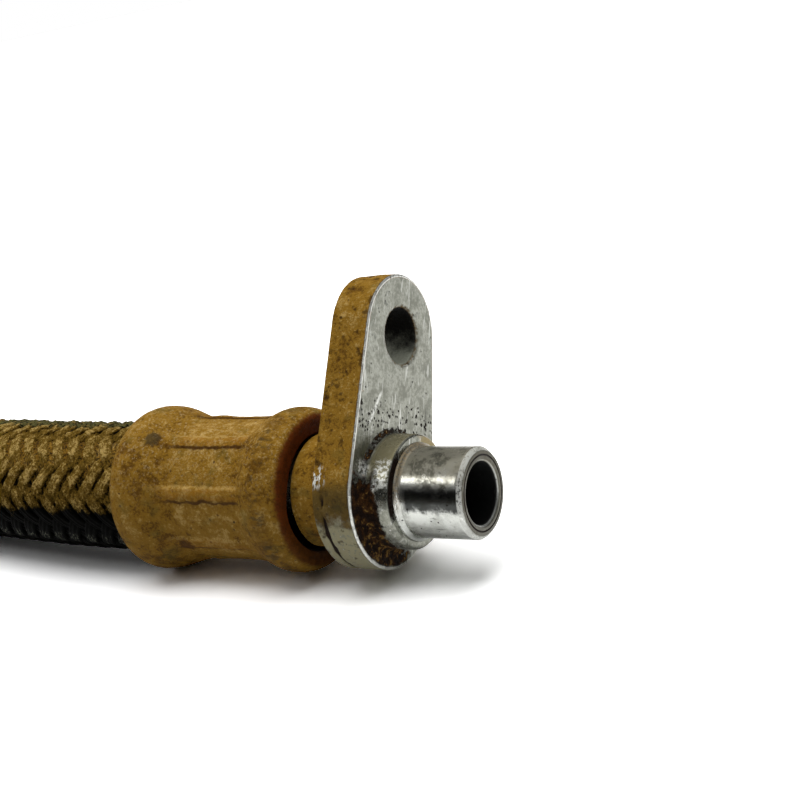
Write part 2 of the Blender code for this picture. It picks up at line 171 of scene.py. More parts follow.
def natural_spline(points, count):
    """Between two knots the curve is a cubic, and its second derivative goes in a straight
    line from one knot's bend to the next. The bends solve the equations that make the
    slopes meet, with no bend at the two ends."""
    points = np.array(points, float)
    span = np.linalg.norm(np.diff(points, axis=0), axis=1)
    knots = np.concatenate([[0.0], np.cumsum(span)])
    slopes = np.diff(points, axis=0) / span[:, None]
    size = len(points)
    rows = np.eye(size)
    inner = np.arange(1, size - 1)
    rows[inner, inner - 1] = span[:-1]
    rows[inner, inner] = 2 * (span[:-1] + span[1:])
    rows[inner, inner + 1] = span[1:]
    right = np.zeros_like(points)
    right[1:-1] = 6 * np.diff(slopes, axis=0)
    bend = np.linalg.solve(rows, right)
    at = np.linspace(0.0, knots[-1], count)
    part = np.clip(np.searchsorted(knots, at, side="right") - 1, 0, size - 2)
    length = span[part][:, None]
    after = (at - knots[part])[:, None]
    before = length - after
    return (
        (bend[part] * before**3 + bend[part + 1] * after**3) / (6 * length)
        + (points[part] / length - bend[part] * length / 6) * before
        + (points[part + 1] / length - bend[part + 1] * length / 6) * after
    )


def hose_line():
    """The route in the row frame, with the stretch that each sleeve hides."""
    start = fittings[0].face + np.array([REAR_END, 0.0, 0.0])
    lying = HOSE_DIAMETER / 2 + FLOOR_CLEARANCE
    route = [(start[0] + x, start[1] + y, lying + (start[2] - lying) * lift) for x, y, lift in ROUTE]
    entry = np.array([HOSE_ENTRY, 0.0, 0.0])
    return natural_spline([route[0] + entry, *route, route[-1] + entry], LINE_POINTS)


LINE = hose_line()
RUN = np.concatenate([[0.0], np.cumsum(np.linalg.norm(np.diff(LINE, axis=0), axis=1))])
HOSE_LENGTH = RUN[-1]
TANGENT = np.gradient(LINE, RUN, axis=0)
TANGENT /= np.linalg.norm(TANGENT, axis=1, keepdims=True)


def along_hose(table, run):
    """Reads a table kept along the line at any distance from its start."""
    return np.stack([np.interp(run, RUN, table[:, k]) for k in range(3)], axis=-1)


def hose_point(run, angle, radius):
    """middle(run) + radius * (cos(angle) * up(run) + sin(angle) * side(run)), where up is
    the world's up made square to the line, and side is square to both."""
    tangent = along_hose(TANGENT, run)
    up = np.array([0.0, 0.0, 1.0]) - tangent * tangent[..., 2:]
    up /= np.linalg.norm(up, axis=-1, keepdims=True)
    side = np.cross(tangent, up)
    spoke = np.cos(angle)[..., None] * up + np.sin(angle)[..., None] * side
    return along_hose(LINE, run) + np.asarray(radius)[..., None] * spoke


print("hose length with its ends, in mm:", round(HOSE_LENGTH / MM, 1))

# %% [markdown]
# ## Grids into meshes
# Every new surface here is a grid of points worked out by a formula, and neighbours on the
# grid share a face. A grid may close on itself in one direction, as a tube does, or in
# both, as a turned ring does.

# %% Mesh helpers
SHARP = math.radians(42)


def grid_faces(rows, columns, close_rows=False, close_columns=False, first=0):
    """Corner numbers of the grid's quads, row by row."""
    r = np.arange(rows if close_rows else rows - 1)[:, None]
    c = np.arange(columns if close_columns else columns - 1)[None, :]
    below = (r + 1) % rows
    right = (c + 1) % columns
    corners = (r * columns + c, below * columns + c, below * columns + right, r * columns + right)
    return np.stack(corners, axis=-1).reshape(-1, 4) + first


def add_piece(name, points, faces, caps=(), attributes=None):
    """Makes a mesh whose object sits at the origin, with one value a point for each
    attribute, or three where the attribute is a place."""
    mesh = bpy.data.meshes.new(name)
    flat = np.asarray(points, float).reshape(-1, 3)
    mesh.from_pydata(flat, [], [*faces.tolist(), *caps])
    for label, values in (attributes or {}).items():
        values = np.asarray(values, np.float32)
        is_place = values.size == 3 * len(flat)
        kind, key = ("FLOAT_VECTOR", "vector") if is_place else ("FLOAT", "value")
        layer = mesh.attributes.new(label, kind, "POINT")
        layer.data.foreach_set(key, values.ravel())
    piece = bpy.data.objects.new(name, mesh)
    bpy.context.scene.collection.objects.link(piece)
    return piece


def about_bore(radius, angle, height):
    """Points at a radius and an angle about the bore, and at a height along it."""
    grid = np.broadcast_arrays(radius * np.cos(angle), radius * np.sin(angle), height)
    return np.stack(grid, axis=-1)


def finish_mesh(piece, weld=None):
    """Welds the seams where grids meet, turns every face outwards and shades smoothly."""
    work = bmesh.new()
    work.from_mesh(piece.data)
    if weld:
        bmesh.ops.remove_doubles(work, verts=work.verts, dist=weld)
    bmesh.ops.recalc_face_normals(work, faces=work.faces)
    work.to_mesh(piece.data)
    work.free()
    piece.data.shade_smooth()
    piece.data.set_sharp_from_angle(angle=SHARP)
    print(piece.name, "has", len(piece.data.polygons), "faces")
    return piece


# %% [markdown]
# Dried mud and forged steel are never even. Smooth random bumps, at a size of our choice,
# move the points a little and also decide where mud sticks. They come from a formula, so
# that they are the same on every run.

# %% Uneven surfaces
def lumps(points, size, seed=0):
    """Random bumps from -1 to 1. Space is cut into cubes of the given size, each corner
    has its own fixed value, and a point blends its cube's eight by 3t^2 - 2t^3."""
    scaled = np.asarray(points) / size
    cell = np.floor(scaled).astype(np.int64)
    part = scaled - cell
    eased = part * part * (3 - 2 * part)
    total = np.zeros(scaled.shape[:-1])
    for corner in np.ndindex(2, 2, 2):
        x, y, z = np.moveaxis(cell + corner, -1, 0)
        mixed = (x * 73856093) ^ (y * 19349663) ^ (z * 83492791) ^ (seed * 2654435 + 97)
        mixed = (mixed ^ (mixed >> 13)) * 1274126177
        value = ((mixed >> 8) & 0xFFFF) / 32767.5 - 1
        weight = np.where(corner, eased, 1 - eased).prod(axis=-1)
        total += weight * value
    return total


def ramp(value, start, end):
    """0 at start and before, 1 at end and past it, eased at both."""
    share = np.clip((np.asarray(value) - start) / (end - start), 0, 1)
    return share * share * (3 - 2 * share)


# %% [markdown]
# ## The rubber under the braid
# The hose itself is a smooth rubber tube. It shows only through the slits of the braid.
# On the upper side mud has filled those slits, so there the surface is raised to just
# below the yarn and takes the mud's colour.

# %% Rubber tube
RUBBER_RADIUS = 7.95 * MM
MUD_FILL = 0.72 * MM  # how far the mud fills the braid above the rubber
CORE_ROWS, CORE_COLUMNS = 480, 96


def mud_level(lift, points):
    """How much mud lies on the hose: plenty above, none below, with an uneven edge.
    lift is 1 straight up and -1 straight down."""
    uneven = 0.1 * lumps(points, 3.2 * MM, 5) + 0.06 * lumps(points, 1.1 * MM, 6)
    return ramp(lift + uneven, -0.17, 0.16)


def rubber_tube():
    """A grid of run and angle at radius rubber + fill, closed round and capped."""
    run = np.linspace(0, HOSE_LENGTH, CORE_ROWS)[:, None] + np.zeros(CORE_COLUMNS)
    angle = np.linspace(0, 2 * math.pi, CORE_COLUMNS, endpoint=False) + np.zeros_like(run)
    lift = np.cos(angle)
    even = hose_point(run, angle, np.full_like(run, HOSE_DIAMETER / 2))
    filled = ramp(lift + 0.2 * lumps(even, 2.6 * MM, 8), 0.48, 0.78)
    filled = filled * (1 - 0.75 * ramp(lift, 0.88, 0.98))
    rough = 0.07 * MM * lumps(even, 0.9 * MM, 9)
    radius = RUBBER_RADIUS + filled * (MUD_FILL + rough)
    points = hose_point(run, angle, radius)
    faces = grid_faces(CORE_ROWS, CORE_COLUMNS, close_columns=True)
    first = list(range(CORE_COLUMNS))
    last = [(CORE_ROWS - 1) * CORE_COLUMNS + i for i in first]
    values = {"mud": filled, "lift": lift}
    return finish_mesh(add_piece("hose_rubber", points, faces, [first, last[::-1]], values))


rubber = rubber_tube()

# %% [markdown]
# ## The braid
# Twelve bundles of yarn wind round the hose one way and twelve the other. Each passes over
# two and under two, and on such a braid the change always comes at the same places round
# the hose, so the overs lie in bands along it: a band slanting one way, then a band
# slanting the other. Each bundle is modelled as it is: a flat strand of three yarns that
# rises and sinks as it winds. A picture of a weave on a tube would leave its edge smooth,
# and here the edge has the tufts that the photograph shows.

# %% Braid
STRANDS = 12  # each way
TURN_LENGTH = 37.0 * MM  # along the hose, for one turn of a strand
STRAND_HALF_WIDTH = 1.04 * MM
STRAND_HALF_THICKNESS = 0.30 * MM
WEAVE_RADIUS = 8.42 * MM  # middle of the woven layer
WEAVE_DEPTH = 0.27 * MM  # how far a strand rises and sinks from it
BAND_ANGLE = math.radians(-62)  # a band of strands that rise towards the near fitting
BANDS = 6  # each way round the hose
YARNS = 3
CLEAN_TURN = math.radians(20)  # the cleanest yarn lies a little behind the very top
FINE_RUN = 60.0 * MM  # the stretch by the near fitting has more points
OVERLAP = 0.2 * MM  # of the two stretches
END_MARGIN = 0.8 * MM
CROSSING = TURN_LENGTH / (2 * STRANDS)


def strand_arch(across):
    """Height of a strand's top over its width, -1 to 1: a low arch with a dip between
    neighbouring yarns."""
    arch = np.sqrt(np.clip(1 - across**2, 0, 1))
    yarns = np.cos(math.pi * YARNS * across / 2) ** 2
    return 0.72 * arch + 0.28 * yarns * np.sqrt(arch)


def strand_paths(way, start, end, steps_per_crossing):
    """Run and angle of each strand's middle: the angle is the strand's own start + way *
    turns of the run. Gives them strand by strand, with the strands' own starts."""
    steps = round((end - start) / CROSSING * steps_per_crossing)
    run = np.linspace(start, end, steps + 1)[None, :, None]
    own = np.arange(STRANDS)[:, None, None] * 2 * math.pi / STRANDS
    first_angle = BAND_ANGLE - math.pi / (2 * STRANDS)
    return run, first_angle + own + way * 2 * math.pi * run / TURN_LENGTH, own


def strand_height(across, rise, uneven, mud, even):
    """Radius of a strand's skin: the woven layer's middle, the strand's rise and its arch,
    with a crust of mud and a little fray. Its two edges are tucked under."""
    crust = 0.16 * lumps(even, 0.9 * MM, 12) + 0.14 * lumps(even, 0.42 * MM, 13)
    fray = 0.04 * lumps(even, 0.5 * MM, 14)
    top = STRAND_HALF_THICKNESS * strand_arch(across) + MM * (mud * crust + fray)
    edge = np.abs(across) == 1
    middle = WEAVE_RADIUS + WEAVE_DEPTH * rise + 0.05 * MM * uneven
    return middle + np.where(edge, -0.35 * STRAND_HALF_THICKNESS, top)


def braid(name, way, start, end, points_across, steps_per_crossing):
    """One family of strands. A strand rises and sinks with cos(BANDS * (angle - band)),
    is narrower where it is up, and sways a little to its sides."""
    run, angle, own = strand_paths(way, start, end, steps_per_crossing)
    over = -way * np.cos(BANDS * (angle - BAND_ANGLE))
    rise = np.sign(over) * np.abs(over) ** 0.7
    across = np.linspace(-1, 1, points_across)[None, None, :]
    around = np.stack([run + 0 * angle, angle, 0 * angle], axis=-1) * [1, 3 * MM, 1]
    uneven = lumps(around + [0, 0, way * 5 * MM], 2.0 * MM, 11)
    sway = 0.14 * MM * lumps(around + [0, 0, way * 9 * MM], 3.1 * MM, 15)
    width = STRAND_HALF_WIDTH * (1 - 0.13 * over + 0.06 * uneven)
    slope = math.atan2(2 * math.pi * WEAVE_RADIUS, TURN_LENGTH)
    offset = across * width + sway
    at_run = run - way * math.sin(slope) * offset
    at_angle = angle + math.cos(slope) * offset / WEAVE_RADIUS
    even = hose_point(at_run, at_angle, np.full(at_run.shape, HOSE_DIAMETER / 2))
    lift = np.cos(at_angle)
    mud = mud_level(lift, even)
    radius = strand_height(across, rise, uneven, mud, even)
    rows = at_run.shape[1]
    faces, caps = [], []
    for first in range(0, STRANDS * rows * points_across, rows * points_across):
        faces.append(grid_faces(rows, points_across, close_columns=True, first=first))
        head = np.arange(points_across) + first
        caps += [head.tolist(), (head + (rows - 1) * points_across).tolist()[::-1]]
    along_strand = at_run / math.cos(slope) / MM
    values = {
        "mud": mud,
        "lift": lift,
        "crest": np.cos(at_angle - CLEAN_TURN),
        "height": (radius - WEAVE_RADIUS) / (WEAVE_DEPTH + STRAND_HALF_THICKNESS),
        "lay": np.stack(np.broadcast_arrays(across, along_strand, own), axis=-1),
    }
    points = hose_point(at_run, at_angle, radius)
    return finish_mesh(add_piece(name, points, np.concatenate(faces), caps, values))


near_stretch = (END_MARGIN, FINE_RUN)
rest_stretch = (FINE_RUN - OVERLAP, HOSE_LENGTH - END_MARGIN)
strands = []
for way, word in ((-1, "rising"), (1, "falling")):
    strands.append(braid(f"braid_{word}_near", way, *near_stretch, 17, 9))
    strands.append(braid(f"braid_{word}_rest", way, *rest_stretch, 9, 3))

# %% [markdown]
# ## The crimped sleeve
# A press with eight jaws closed a plain steel sleeve over the hose. It left a waist with
# eight flats, a thin ridge of metal between each two of them, and a bulge at either end
# where the jaws didn't reach. Its front is turned in, pressed against the neck above and
# open below. The sleeve is one ring-shaped grid: skin, rear lip, inner wall and front.

# %% Sleeve sizes
SLEEVE_FRONT = -10.7 * MM  # along the bore, behind the plate's face
SLEEVE_LENGTH = 27.6 * MM
SLEEVE_WALL = 1.2 * MM
FRONT_EDGE_RADIUS = 9.0 * MM
FRONT_BULGE_RADIUS = 10.75 * MM
FRONT_BULGE_REACH = 3.1 * MM
MOUTH_DEPTH = 1.7 * MM
MOUTH_RADIUS = 7.55 * MM
MOUTH_EDGE_RADIUS = 8.1 * MM  # where the turned-in front drops into the mouth
MOUTH_CLOSED_BY = 0.62 * MM  # the front was pressed in further on its upper side
MOUTH_OPEN_TOWARDS = math.radians(208)  # straight down, from the bolt hole's side
WAIST_RADIUS = 9.35 * MM
WAIST_START = 7.0 * MM
WAIST_END = 18.1 * MM
REAR_BULGE_RADIUS = 11.15 * MM
REAR_BULGE_REACH = 2.3 * MM
REAR_LIP_RADIUS = 9.1 * MM
REAR_EDGE_RADIUS = 9.7 * MM
JAWS = 8
JAW_START, JAW_END = 6.0 * MM, 22.5 * MM
RIDGE_HEIGHT = 0.21 * MM
RIDGE_HALF_ANGLE = math.radians(5.5)
FIRST_RIDGE = math.radians(100)  # from the bolt hole's side, about the bore
JAW_FLATNESS = 0.26 * MM
SLEEVE_COLUMNS = 320


def sleeve_radius(depth):
    """Quarter ellipses at the two ends, cosine steps down to the waist and up again."""
    depth = np.asarray(depth, float)
    rear_crest = SLEEVE_LENGTH - REAR_BULGE_REACH

    def quarter(edge, crest, share):
        return edge + (crest - edge) * np.sqrt(np.clip(1 - (1 - share) ** 2, 0, 1))

    def step(first, second, share, crease=0.0):
        share = np.clip(share, 0, 1)
        smooth = (1 - np.cos(math.pi * share)) / 2
        creased = 1 - np.cos(math.pi * share / 2)
        return first + (second - first) * (smooth + (creased - smooth) * crease)

    front = quarter(FRONT_EDGE_RADIUS, FRONT_BULGE_RADIUS, depth / FRONT_BULGE_REACH)
    slope = (depth - FRONT_BULGE_REACH) / (WAIST_START - FRONT_BULGE_REACH)
    climb = np.clip((depth - WAIST_END) / (rear_crest - WAIST_END), 0, 1) ** 0.8
    from_rear = (SLEEVE_LENGTH - depth) / REAR_BULGE_REACH
    rear = quarter(REAR_EDGE_RADIUS, REAR_BULGE_RADIUS, from_rear)
    fall = step(FRONT_BULGE_RADIUS, WAIST_RADIUS, slope, 0.95)
    radius = np.where(depth < FRONT_BULGE_REACH, front, fall)
    radius = np.where(depth > WAIST_END, step(WAIST_RADIUS, REAR_BULGE_RADIUS, climb), radius)
    return np.where(depth > rear_crest, rear, radius)


def press_marks(depth, angle):
    """Ridge between two jaws and the flat of each, both fading at the jaw's ends. Gives
    the height in metres, the fading, and the way across the ridge, 0 on its crest."""
    pitch = 2 * math.pi / JAWS
    spot = np.stack(np.broadcast_arrays(depth, angle * WAIST_RADIUS, 0.0), axis=-1)
    ragged = lumps(spot, 1.5 * MM, 24) * 0.5 + lumps(spot, 0.6 * MM, 25) * 0.5
    off = (angle - FIRST_RIDGE + pitch / 2) % pitch - pitch / 2
    ridge = ramp(np.abs(off) / RIDGE_HALF_ANGLE + 0.22 * ragged, 1.22, 0.82)
    ridge = ridge * (0.8 + 0.35 * lumps(spot, 2.2 * MM, 26))
    flat = (1 - (2 * np.abs(off) / pitch)) ** 2
    fade = ramp(depth, JAW_START, JAW_START + 1.1 * MM) * ramp(depth, JAW_END, JAW_END - 6 * MM)
    flank = off / RIDGE_HALF_ANGLE + 0.3 * ragged
    return fade * (RIDGE_HEIGHT * ridge + JAW_FLATNESS * (flat - 0.55)), fade, flank


# %% Sleeve surface
def sleeve_profile():
    """Depth and radius down the skin, then round the lip and back inside. Gives them with
    the number of the first row past the skin, and of the first row of the front."""
    turn = 1 - np.cos(np.linspace(0, math.pi / 2, 18))
    rear_crest = SLEEVE_LENGTH - REAR_BULGE_REACH
    depth = np.concatenate(
        [
            FRONT_BULGE_REACH * turn,
            np.linspace(FRONT_BULGE_REACH, rear_crest, 120)[1:],
            SLEEVE_LENGTH - REAR_BULGE_REACH * turn[::-1][1:],
        ]
    )
    skin = np.stack([depth, sleeve_radius(depth)], axis=-1)
    inside = [
        (SLEEVE_LENGTH + 0.05 * MM, REAR_LIP_RADIUS + 0.3 * MM),
        (SLEEVE_LENGTH - 0.1 * MM, REAR_LIP_RADIUS),
        (SLEEVE_LENGTH - 1.2 * MM, REAR_LIP_RADIUS),
        (SLEEVE_LENGTH - 2.4 * MM, REAR_BULGE_RADIUS - SLEEVE_WALL),
        (WAIST_END, WAIST_RADIUS - SLEEVE_WALL),
        (WAIST_START, WAIST_RADIUS - SLEEVE_WALL),
        (MOUTH_DEPTH + SLEEVE_WALL, FRONT_BULGE_RADIUS - SLEEVE_WALL - 0.3 * MM),
        (MOUTH_DEPTH + SLEEVE_WALL, MOUTH_RADIUS),
        (MOUTH_DEPTH + 0.15 * MM, MOUTH_RADIUS),
    ]
    radii = np.linspace(MOUTH_RADIUS + 0.05 * MM, MOUTH_EDGE_RADIUS, 9)
    share = (MOUTH_EDGE_RADIUS - radii) / (MOUTH_EDGE_RADIUS - MOUTH_RADIUS)
    funnel = np.stack([0.12 * MM + (MOUTH_DEPTH - 0.12 * MM) * share**1.6, radii], axis=-1)
    ring = np.linspace((0.12 * MM, MOUTH_EDGE_RADIUS), (0.0, FRONT_EDGE_RADIUS), 7)[1:-1]
    return np.concatenate([skin, inside, funnel, ring]), len(skin), len(skin) + len(inside)


def sleeve(fitting):
    """The profile carried round the bore, moved in and out by the press and the mud. The
    turned-in front is pressed in further on its upper side."""
    profile, skin, front = sleeve_profile()
    depth, radius = (profile[:, k][:, None] for k in (0, 1))
    angle = np.linspace(0, 2 * math.pi, SLEEVE_COLUMNS, endpoint=False)[None, :]
    height = SLEEVE_FRONT - depth
    place = fitting.place(about_bore(radius, angle, height))
    mud = 0.10 * lumps(place, 5.0 * MM, 21) + 0.05 * lumps(place, 1.7 * MM, 22)
    mud += 0.022 * lumps(place, 0.7 * MM, 23)
    marks, pressed, flank = press_marks(depth, angle)
    shown = np.zeros_like(depth)
    shown[:skin] = 1.0
    shown[front:] = 0.5
    radius = radius + shown * (marks + mud * MM * 0.8)
    closed = ramp(np.cos(angle - MOUTH_OPEN_TOWARDS), 0.15, -0.55)
    turned_in = ramp(radius, FRONT_EDGE_RADIUS, MOUTH_EDGE_RADIUS)
    turned_in[:front] = 0.0
    radius = radius - MOUTH_CLOSED_BY * closed * turned_in
    inner = ramp(radius, 10.5 * MM, 9.3 * MM) * ramp(depth, 1.7 * MM, 0.5 * MM)
    inner[skin:] = 1.0
    deep = np.zeros_like(inner)
    deep[skin:] = ramp(depth[skin:], 0.2 * MM, 0.9 * MM)
    local = about_bore(radius, angle, height)
    values = {
        "place": local / MM,
        "pressed": pressed + 0 * inner,
        "flank": np.clip(flank, -3, 3) + 0 * inner,
        "inner": inner,
        "deep": deep,
    }
    faces = grid_faces(*inner.shape, close_rows=True, close_columns=True)
    piece = add_piece(f"{fitting.end}_sleeve", fitting.place(local), faces, attributes=values)
    return finish_mesh(piece)


sleeves = [sleeve(fitting) for fitting in fittings]

# %% [markdown]
# ## The stem
# A turned tube runs through the flange. Its front is the polished spigot that enters the
# cooler, with a small root ring against the collar, a chamfered tip, a ring cut round
# its end face and a countersunk bore. The barbed tail that grips the hose stays hidden.

# %% Stem
SPIGOT_RADIUS = 5.65 * MM
COLLAR_HEIGHT = 3.8 * MM
ROOT_RING_RADIUS = 6.1 * MM
ROOT_RING_HEIGHT = 0.3 * MM
ROOT_FILLET = 0.4 * MM
CHAMFER = 0.5 * MM
END_GROOVE = 4.62 * MM  # radius of the ring cut round the end face
BORE_RADIUS = 3.8 * MM
TAIL_RADIUS = 4.9 * MM
BARB_RADIUS = 5.3 * MM
BARBS = 3
BARB_PITCH = 6.0 * MM
TAIL_END = -35.3 * MM
NECK_END = -13.6 * MM
TURNED_COLUMNS = 220


def arc(centre, radius, start, end, count):
    """Points on a circle between two angles in degrees."""
    angle = np.radians(np.linspace(start, end, count))
    return np.array(centre) + radius * np.stack([np.cos(angle), np.sin(angle)], axis=-1)


def line(start, end, count):
    """Evenly spaced points from start to end."""
    return np.linspace(start, end, count)


def stem_profile():
    """Radius and height, from the bore's mouth out over the tip and down outside."""
    tip = SPIGOT_TIP
    skin = SPIGOT_RADIUS
    root = COLLAR_HEIGHT + 0.04 * MM
    shoulder = root + ROOT_RING_HEIGHT
    fillet = shoulder + ROOT_FILLET
    front = [
        line((BORE_RADIUS, tip - 2.5 * MM), (BORE_RADIUS, tip - 0.55 * MM), 4),
        arc((BORE_RADIUS + 0.42 * MM, tip - 0.5 * MM), 0.42 * MM, 180, 105, 6),
        line((BORE_RADIUS + 0.4 * MM, tip - 0.03 * MM), (END_GROOVE - 0.13 * MM, tip), 3),
        arc((END_GROOVE, tip), 0.09 * MM, 180, 360, 5),
        line((END_GROOVE + 0.13 * MM, tip), (skin - CHAMFER - 0.05 * MM, tip), 4),
        line((skin - CHAMFER, tip - 0.02 * MM), (skin - 0.03 * MM, tip - CHAMFER), 4),
        line((skin, tip - CHAMFER - 0.06 * MM), (skin, fillet), 26),
        arc((skin + ROOT_FILLET, fillet), ROOT_FILLET, 180, 250, 8)[1:],
        arc((ROOT_RING_RADIUS - 0.1 * MM, shoulder - 0.12 * MM), 0.1 * MM, 80, 0, 5),
        line((ROOT_RING_RADIUS + 0.05 * MM, root), (skin - 0.02 * MM, root), 3),
        line((skin - 0.02 * MM, NECK_END), (TAIL_RADIUS, NECK_END - 0.7 * MM), 2),
    ]
    tail = []
    for i in range(BARBS, 0, -1):
        foot = TAIL_END + BARB_PITCH * (i - 1)
        crest = foot + BARB_PITCH / 2
        tail += [(TAIL_RADIUS, crest + 0.6 * MM), (BARB_RADIUS, crest), (TAIL_RADIUS, foot)]
    tail += [(BORE_RADIUS, TAIL_END), (BORE_RADIUS, -10 * MM), (BORE_RADIUS, 2 * MM)]
    return np.concatenate([*front, np.array(tail)])


def stem(fitting):
    """The profile turned about the bore, closed on itself through it."""
    profile = stem_profile()
    angle = np.linspace(0, 2 * math.pi, TURNED_COLUMNS, endpoint=False)[None, :]
    local = about_bore(profile[:, :1], angle, profile[:, 1:])
    faces = grid_faces(*local.shape[:2], close_rows=True, close_columns=True)
    values = {"place": local / MM}
    return finish_mesh(add_piece(f"{fitting.end}_tube", fitting.place(local), faces, (), values))


stems = [stem(fitting) for fitting in fittings]

# %% [markdown]
# ## The flange
# A flat forged plate like a drop of water, with a collar in front and a neck behind. Its
# face could be cut from a slab with Booleans, but then its points would be few and badly
# spread. Here rays leave the bore towards the outline, other rays leave the bolt hole, and
# the two fans meet on a straight line across the plate. A profile runs along each ray:
# collar, fillet, face, rounded rim, back and neck.

# %% Flange sizes
PLATE_THICKNESS = 5.5 * MM
BIG_RADIUS, SMALL_RADIUS = 9.8 * MM, 7.8 * MM
BOLT_SPACING = 19.6 * MM
RIM_ROUND = 0.32 * MM
WORN_EDGE = 0.17 * MM  # width of the bright line along the face's edge
FACE_MEETING = 11.6 * MM  # the line where the two fans of rays meet
HOLE_RADIUS = 3.5 * MM
HOLE_LIP = 0.4 * MM
COLLAR_RADIUS = 7.15 * MM
COLLAR_FILLET = 0.8 * MM
NECK_RADIUS = 7.25 * MM
SEAT_RADIUS = 5.9 * MM  # the flange's own bore, round the stem
RIM_TILT = math.asin((BIG_RADIUS - SMALL_RADIUS) / BOLT_SPACING)
FLASH_DEPTH = -4.05 * MM  # the forging's parting line on the rim
FACE_STEPS = 14
MEETING_RAYS = 29


def outline(centre, radius, start, end, count):
    """Points of one round end, inside the rim's rounding, and their outward normals."""
    angle = np.linspace(start, end, count)
    normal = np.stack([np.cos(angle), np.sin(angle)], axis=-1)
    return np.array([centre, 0.0]) + normal * (radius - RIM_ROUND), normal


def fan_edge(big):
    """Where the rays of one fan end: round its end of the plate, along both straight
    sides to the meeting line, and across it. Gives points, normals and what is rim."""
    side = math.pi / 2 - RIM_TILT
    if big:
        ends, normals = outline(0.0, BIG_RADIUS, side, 2 * math.pi - side, 130)
        side_rays = 13
    else:
        ends, normals = outline(BOLT_SPACING, SMALL_RADIUS, -side, side, 100)
        side_rays = 11
    share = (FACE_MEETING - ends[0, 0]) / math.sin(side)
    meeting_height = ends[0, 1] - share * math.cos(side) * np.sign(ends[0, 1])
    start, end = (FACE_MEETING, meeting_height), (FACE_MEETING, -meeting_height)
    run_in = line(start, ends[0], side_rays)[:-1]
    run_out = line(ends[-1], end, side_rays)[1:]
    across = line(end, start, MEETING_RAYS)[1:-1]
    points = np.concatenate([run_in, ends, run_out, across])
    first = np.repeat(normals[:1], len(run_in), axis=0)
    last = np.repeat(normals[-1:], len(run_out), axis=0)
    normal = np.concatenate([first, normals, last, np.zeros_like(across)])
    return points, normal, len(points) - len(across)


# %% Flange surface
def ray_grid(edge, centre, profile, height):
    """Rows of points: first round the hole's own profile of radius and height, then out
    over the face to the fan's edge, with two close rows for the worn line beside it."""
    ray = edge - centre
    reach = np.linalg.norm(ray, axis=1, keepdims=True)
    spoke = ray / reach
    inner = profile[-1, 0]
    shares = np.linspace(0, 1, FACE_STEPS + 1)[1:-1]
    away = [radius + 0 * reach for radius, _ in profile]
    away += [inner + (reach - 3 * WORN_EDGE - inner) * share for share in shares]
    away += [reach - 2 * WORN_EDGE, reach - WORN_EDGE, reach]
    heights = [*profile[:, 1], *[height] * (len(away) - len(profile))]
    return np.stack([np.hstack([centre + spoke * r, 0 * reach + z]) for r, z in zip(away, heights)])


def rim_grid(edge, normal, count):
    """Rows from the face's edge over the front rounding, down the side and round the
    back: a quarter circle, a straight side with the flash line, a quarter circle."""
    turn = np.radians(np.linspace(0, 90, 6))
    side = np.linspace(-RIM_ROUND, -PLATE_THICKNESS + RIM_ROUND, 24)[1:-1]
    out = np.concatenate([np.sin(turn), np.ones(len(side)), np.cos(turn)]) * RIM_ROUND
    front = -RIM_ROUND * (1 - np.cos(turn))
    back = -PLATE_THICKNESS + RIM_ROUND * (1 - np.sin(turn))
    height = np.concatenate([front, side, back])
    edge, normal = edge[:count], normal[:count]
    plane = edge[None] + normal[None] * out[:, None, None]
    return np.concatenate([plane, np.repeat(height[:, None, None], count, axis=1)], axis=2)


def boss_rows():
    """Collar in front: from the bore over its chamfer, down its wall and its fillet."""
    wall, top, fillet = COLLAR_RADIUS, COLLAR_HEIGHT, COLLAR_FILLET
    chamfer = 0.3 * MM
    rows = [
        line((SEAT_RADIUS, -3 * MM), (SEAT_RADIUS, top - 0.1 * MM), 3),
        line((SEAT_RADIUS + 0.1 * MM, top), (wall - chamfer, top), 5),
        line((wall - chamfer * 0.7, top - 0.04 * MM), (wall - 0.02 * MM, top - chamfer), 3),
        line((wall, top - chamfer * 1.4), (wall, fillet), 12),
        arc((wall + fillet, fillet), fillet, 180, 270, 8)[1:],
    ]
    return np.concatenate(rows)


def neck_rows():
    """Neck behind: from the bore's rear over its end and up to the plate's back."""
    fillet = 0.5 * MM
    back = -PLATE_THICKNESS
    end = SLEEVE_FRONT - 0.05 * MM
    rows = [
        line((SEAT_RADIUS, -3.2 * MM), (SEAT_RADIUS, end), 3),
        line((NECK_RADIUS - 0.3 * MM, end), (NECK_RADIUS, end + 0.3 * MM), 2),
        line((NECK_RADIUS, end + 0.5 * MM), (NECK_RADIUS, back - fillet), 16),
        arc((NECK_RADIUS + fillet, back - fillet), fillet, 180, 90, 6)[1:],
    ]
    return np.concatenate(rows)


def lip_rows(front):
    """The bolt hole's wall, from its middle out over a worn lip."""
    lip = HOLE_LIP if front else HOLE_LIP / 2
    face = 0.0 if front else -PLATE_THICKNESS
    inward = -lip if front else lip
    rows = [
        line((HOLE_RADIUS, -PLATE_THICKNESS / 2), (HOLE_RADIUS, face + inward), 8),
        line((HOLE_RADIUS + lip * 0.35, face + inward * 0.45), (HOLE_RADIUS + lip * 1.5, face), 4),
    ]
    return np.concatenate(rows)


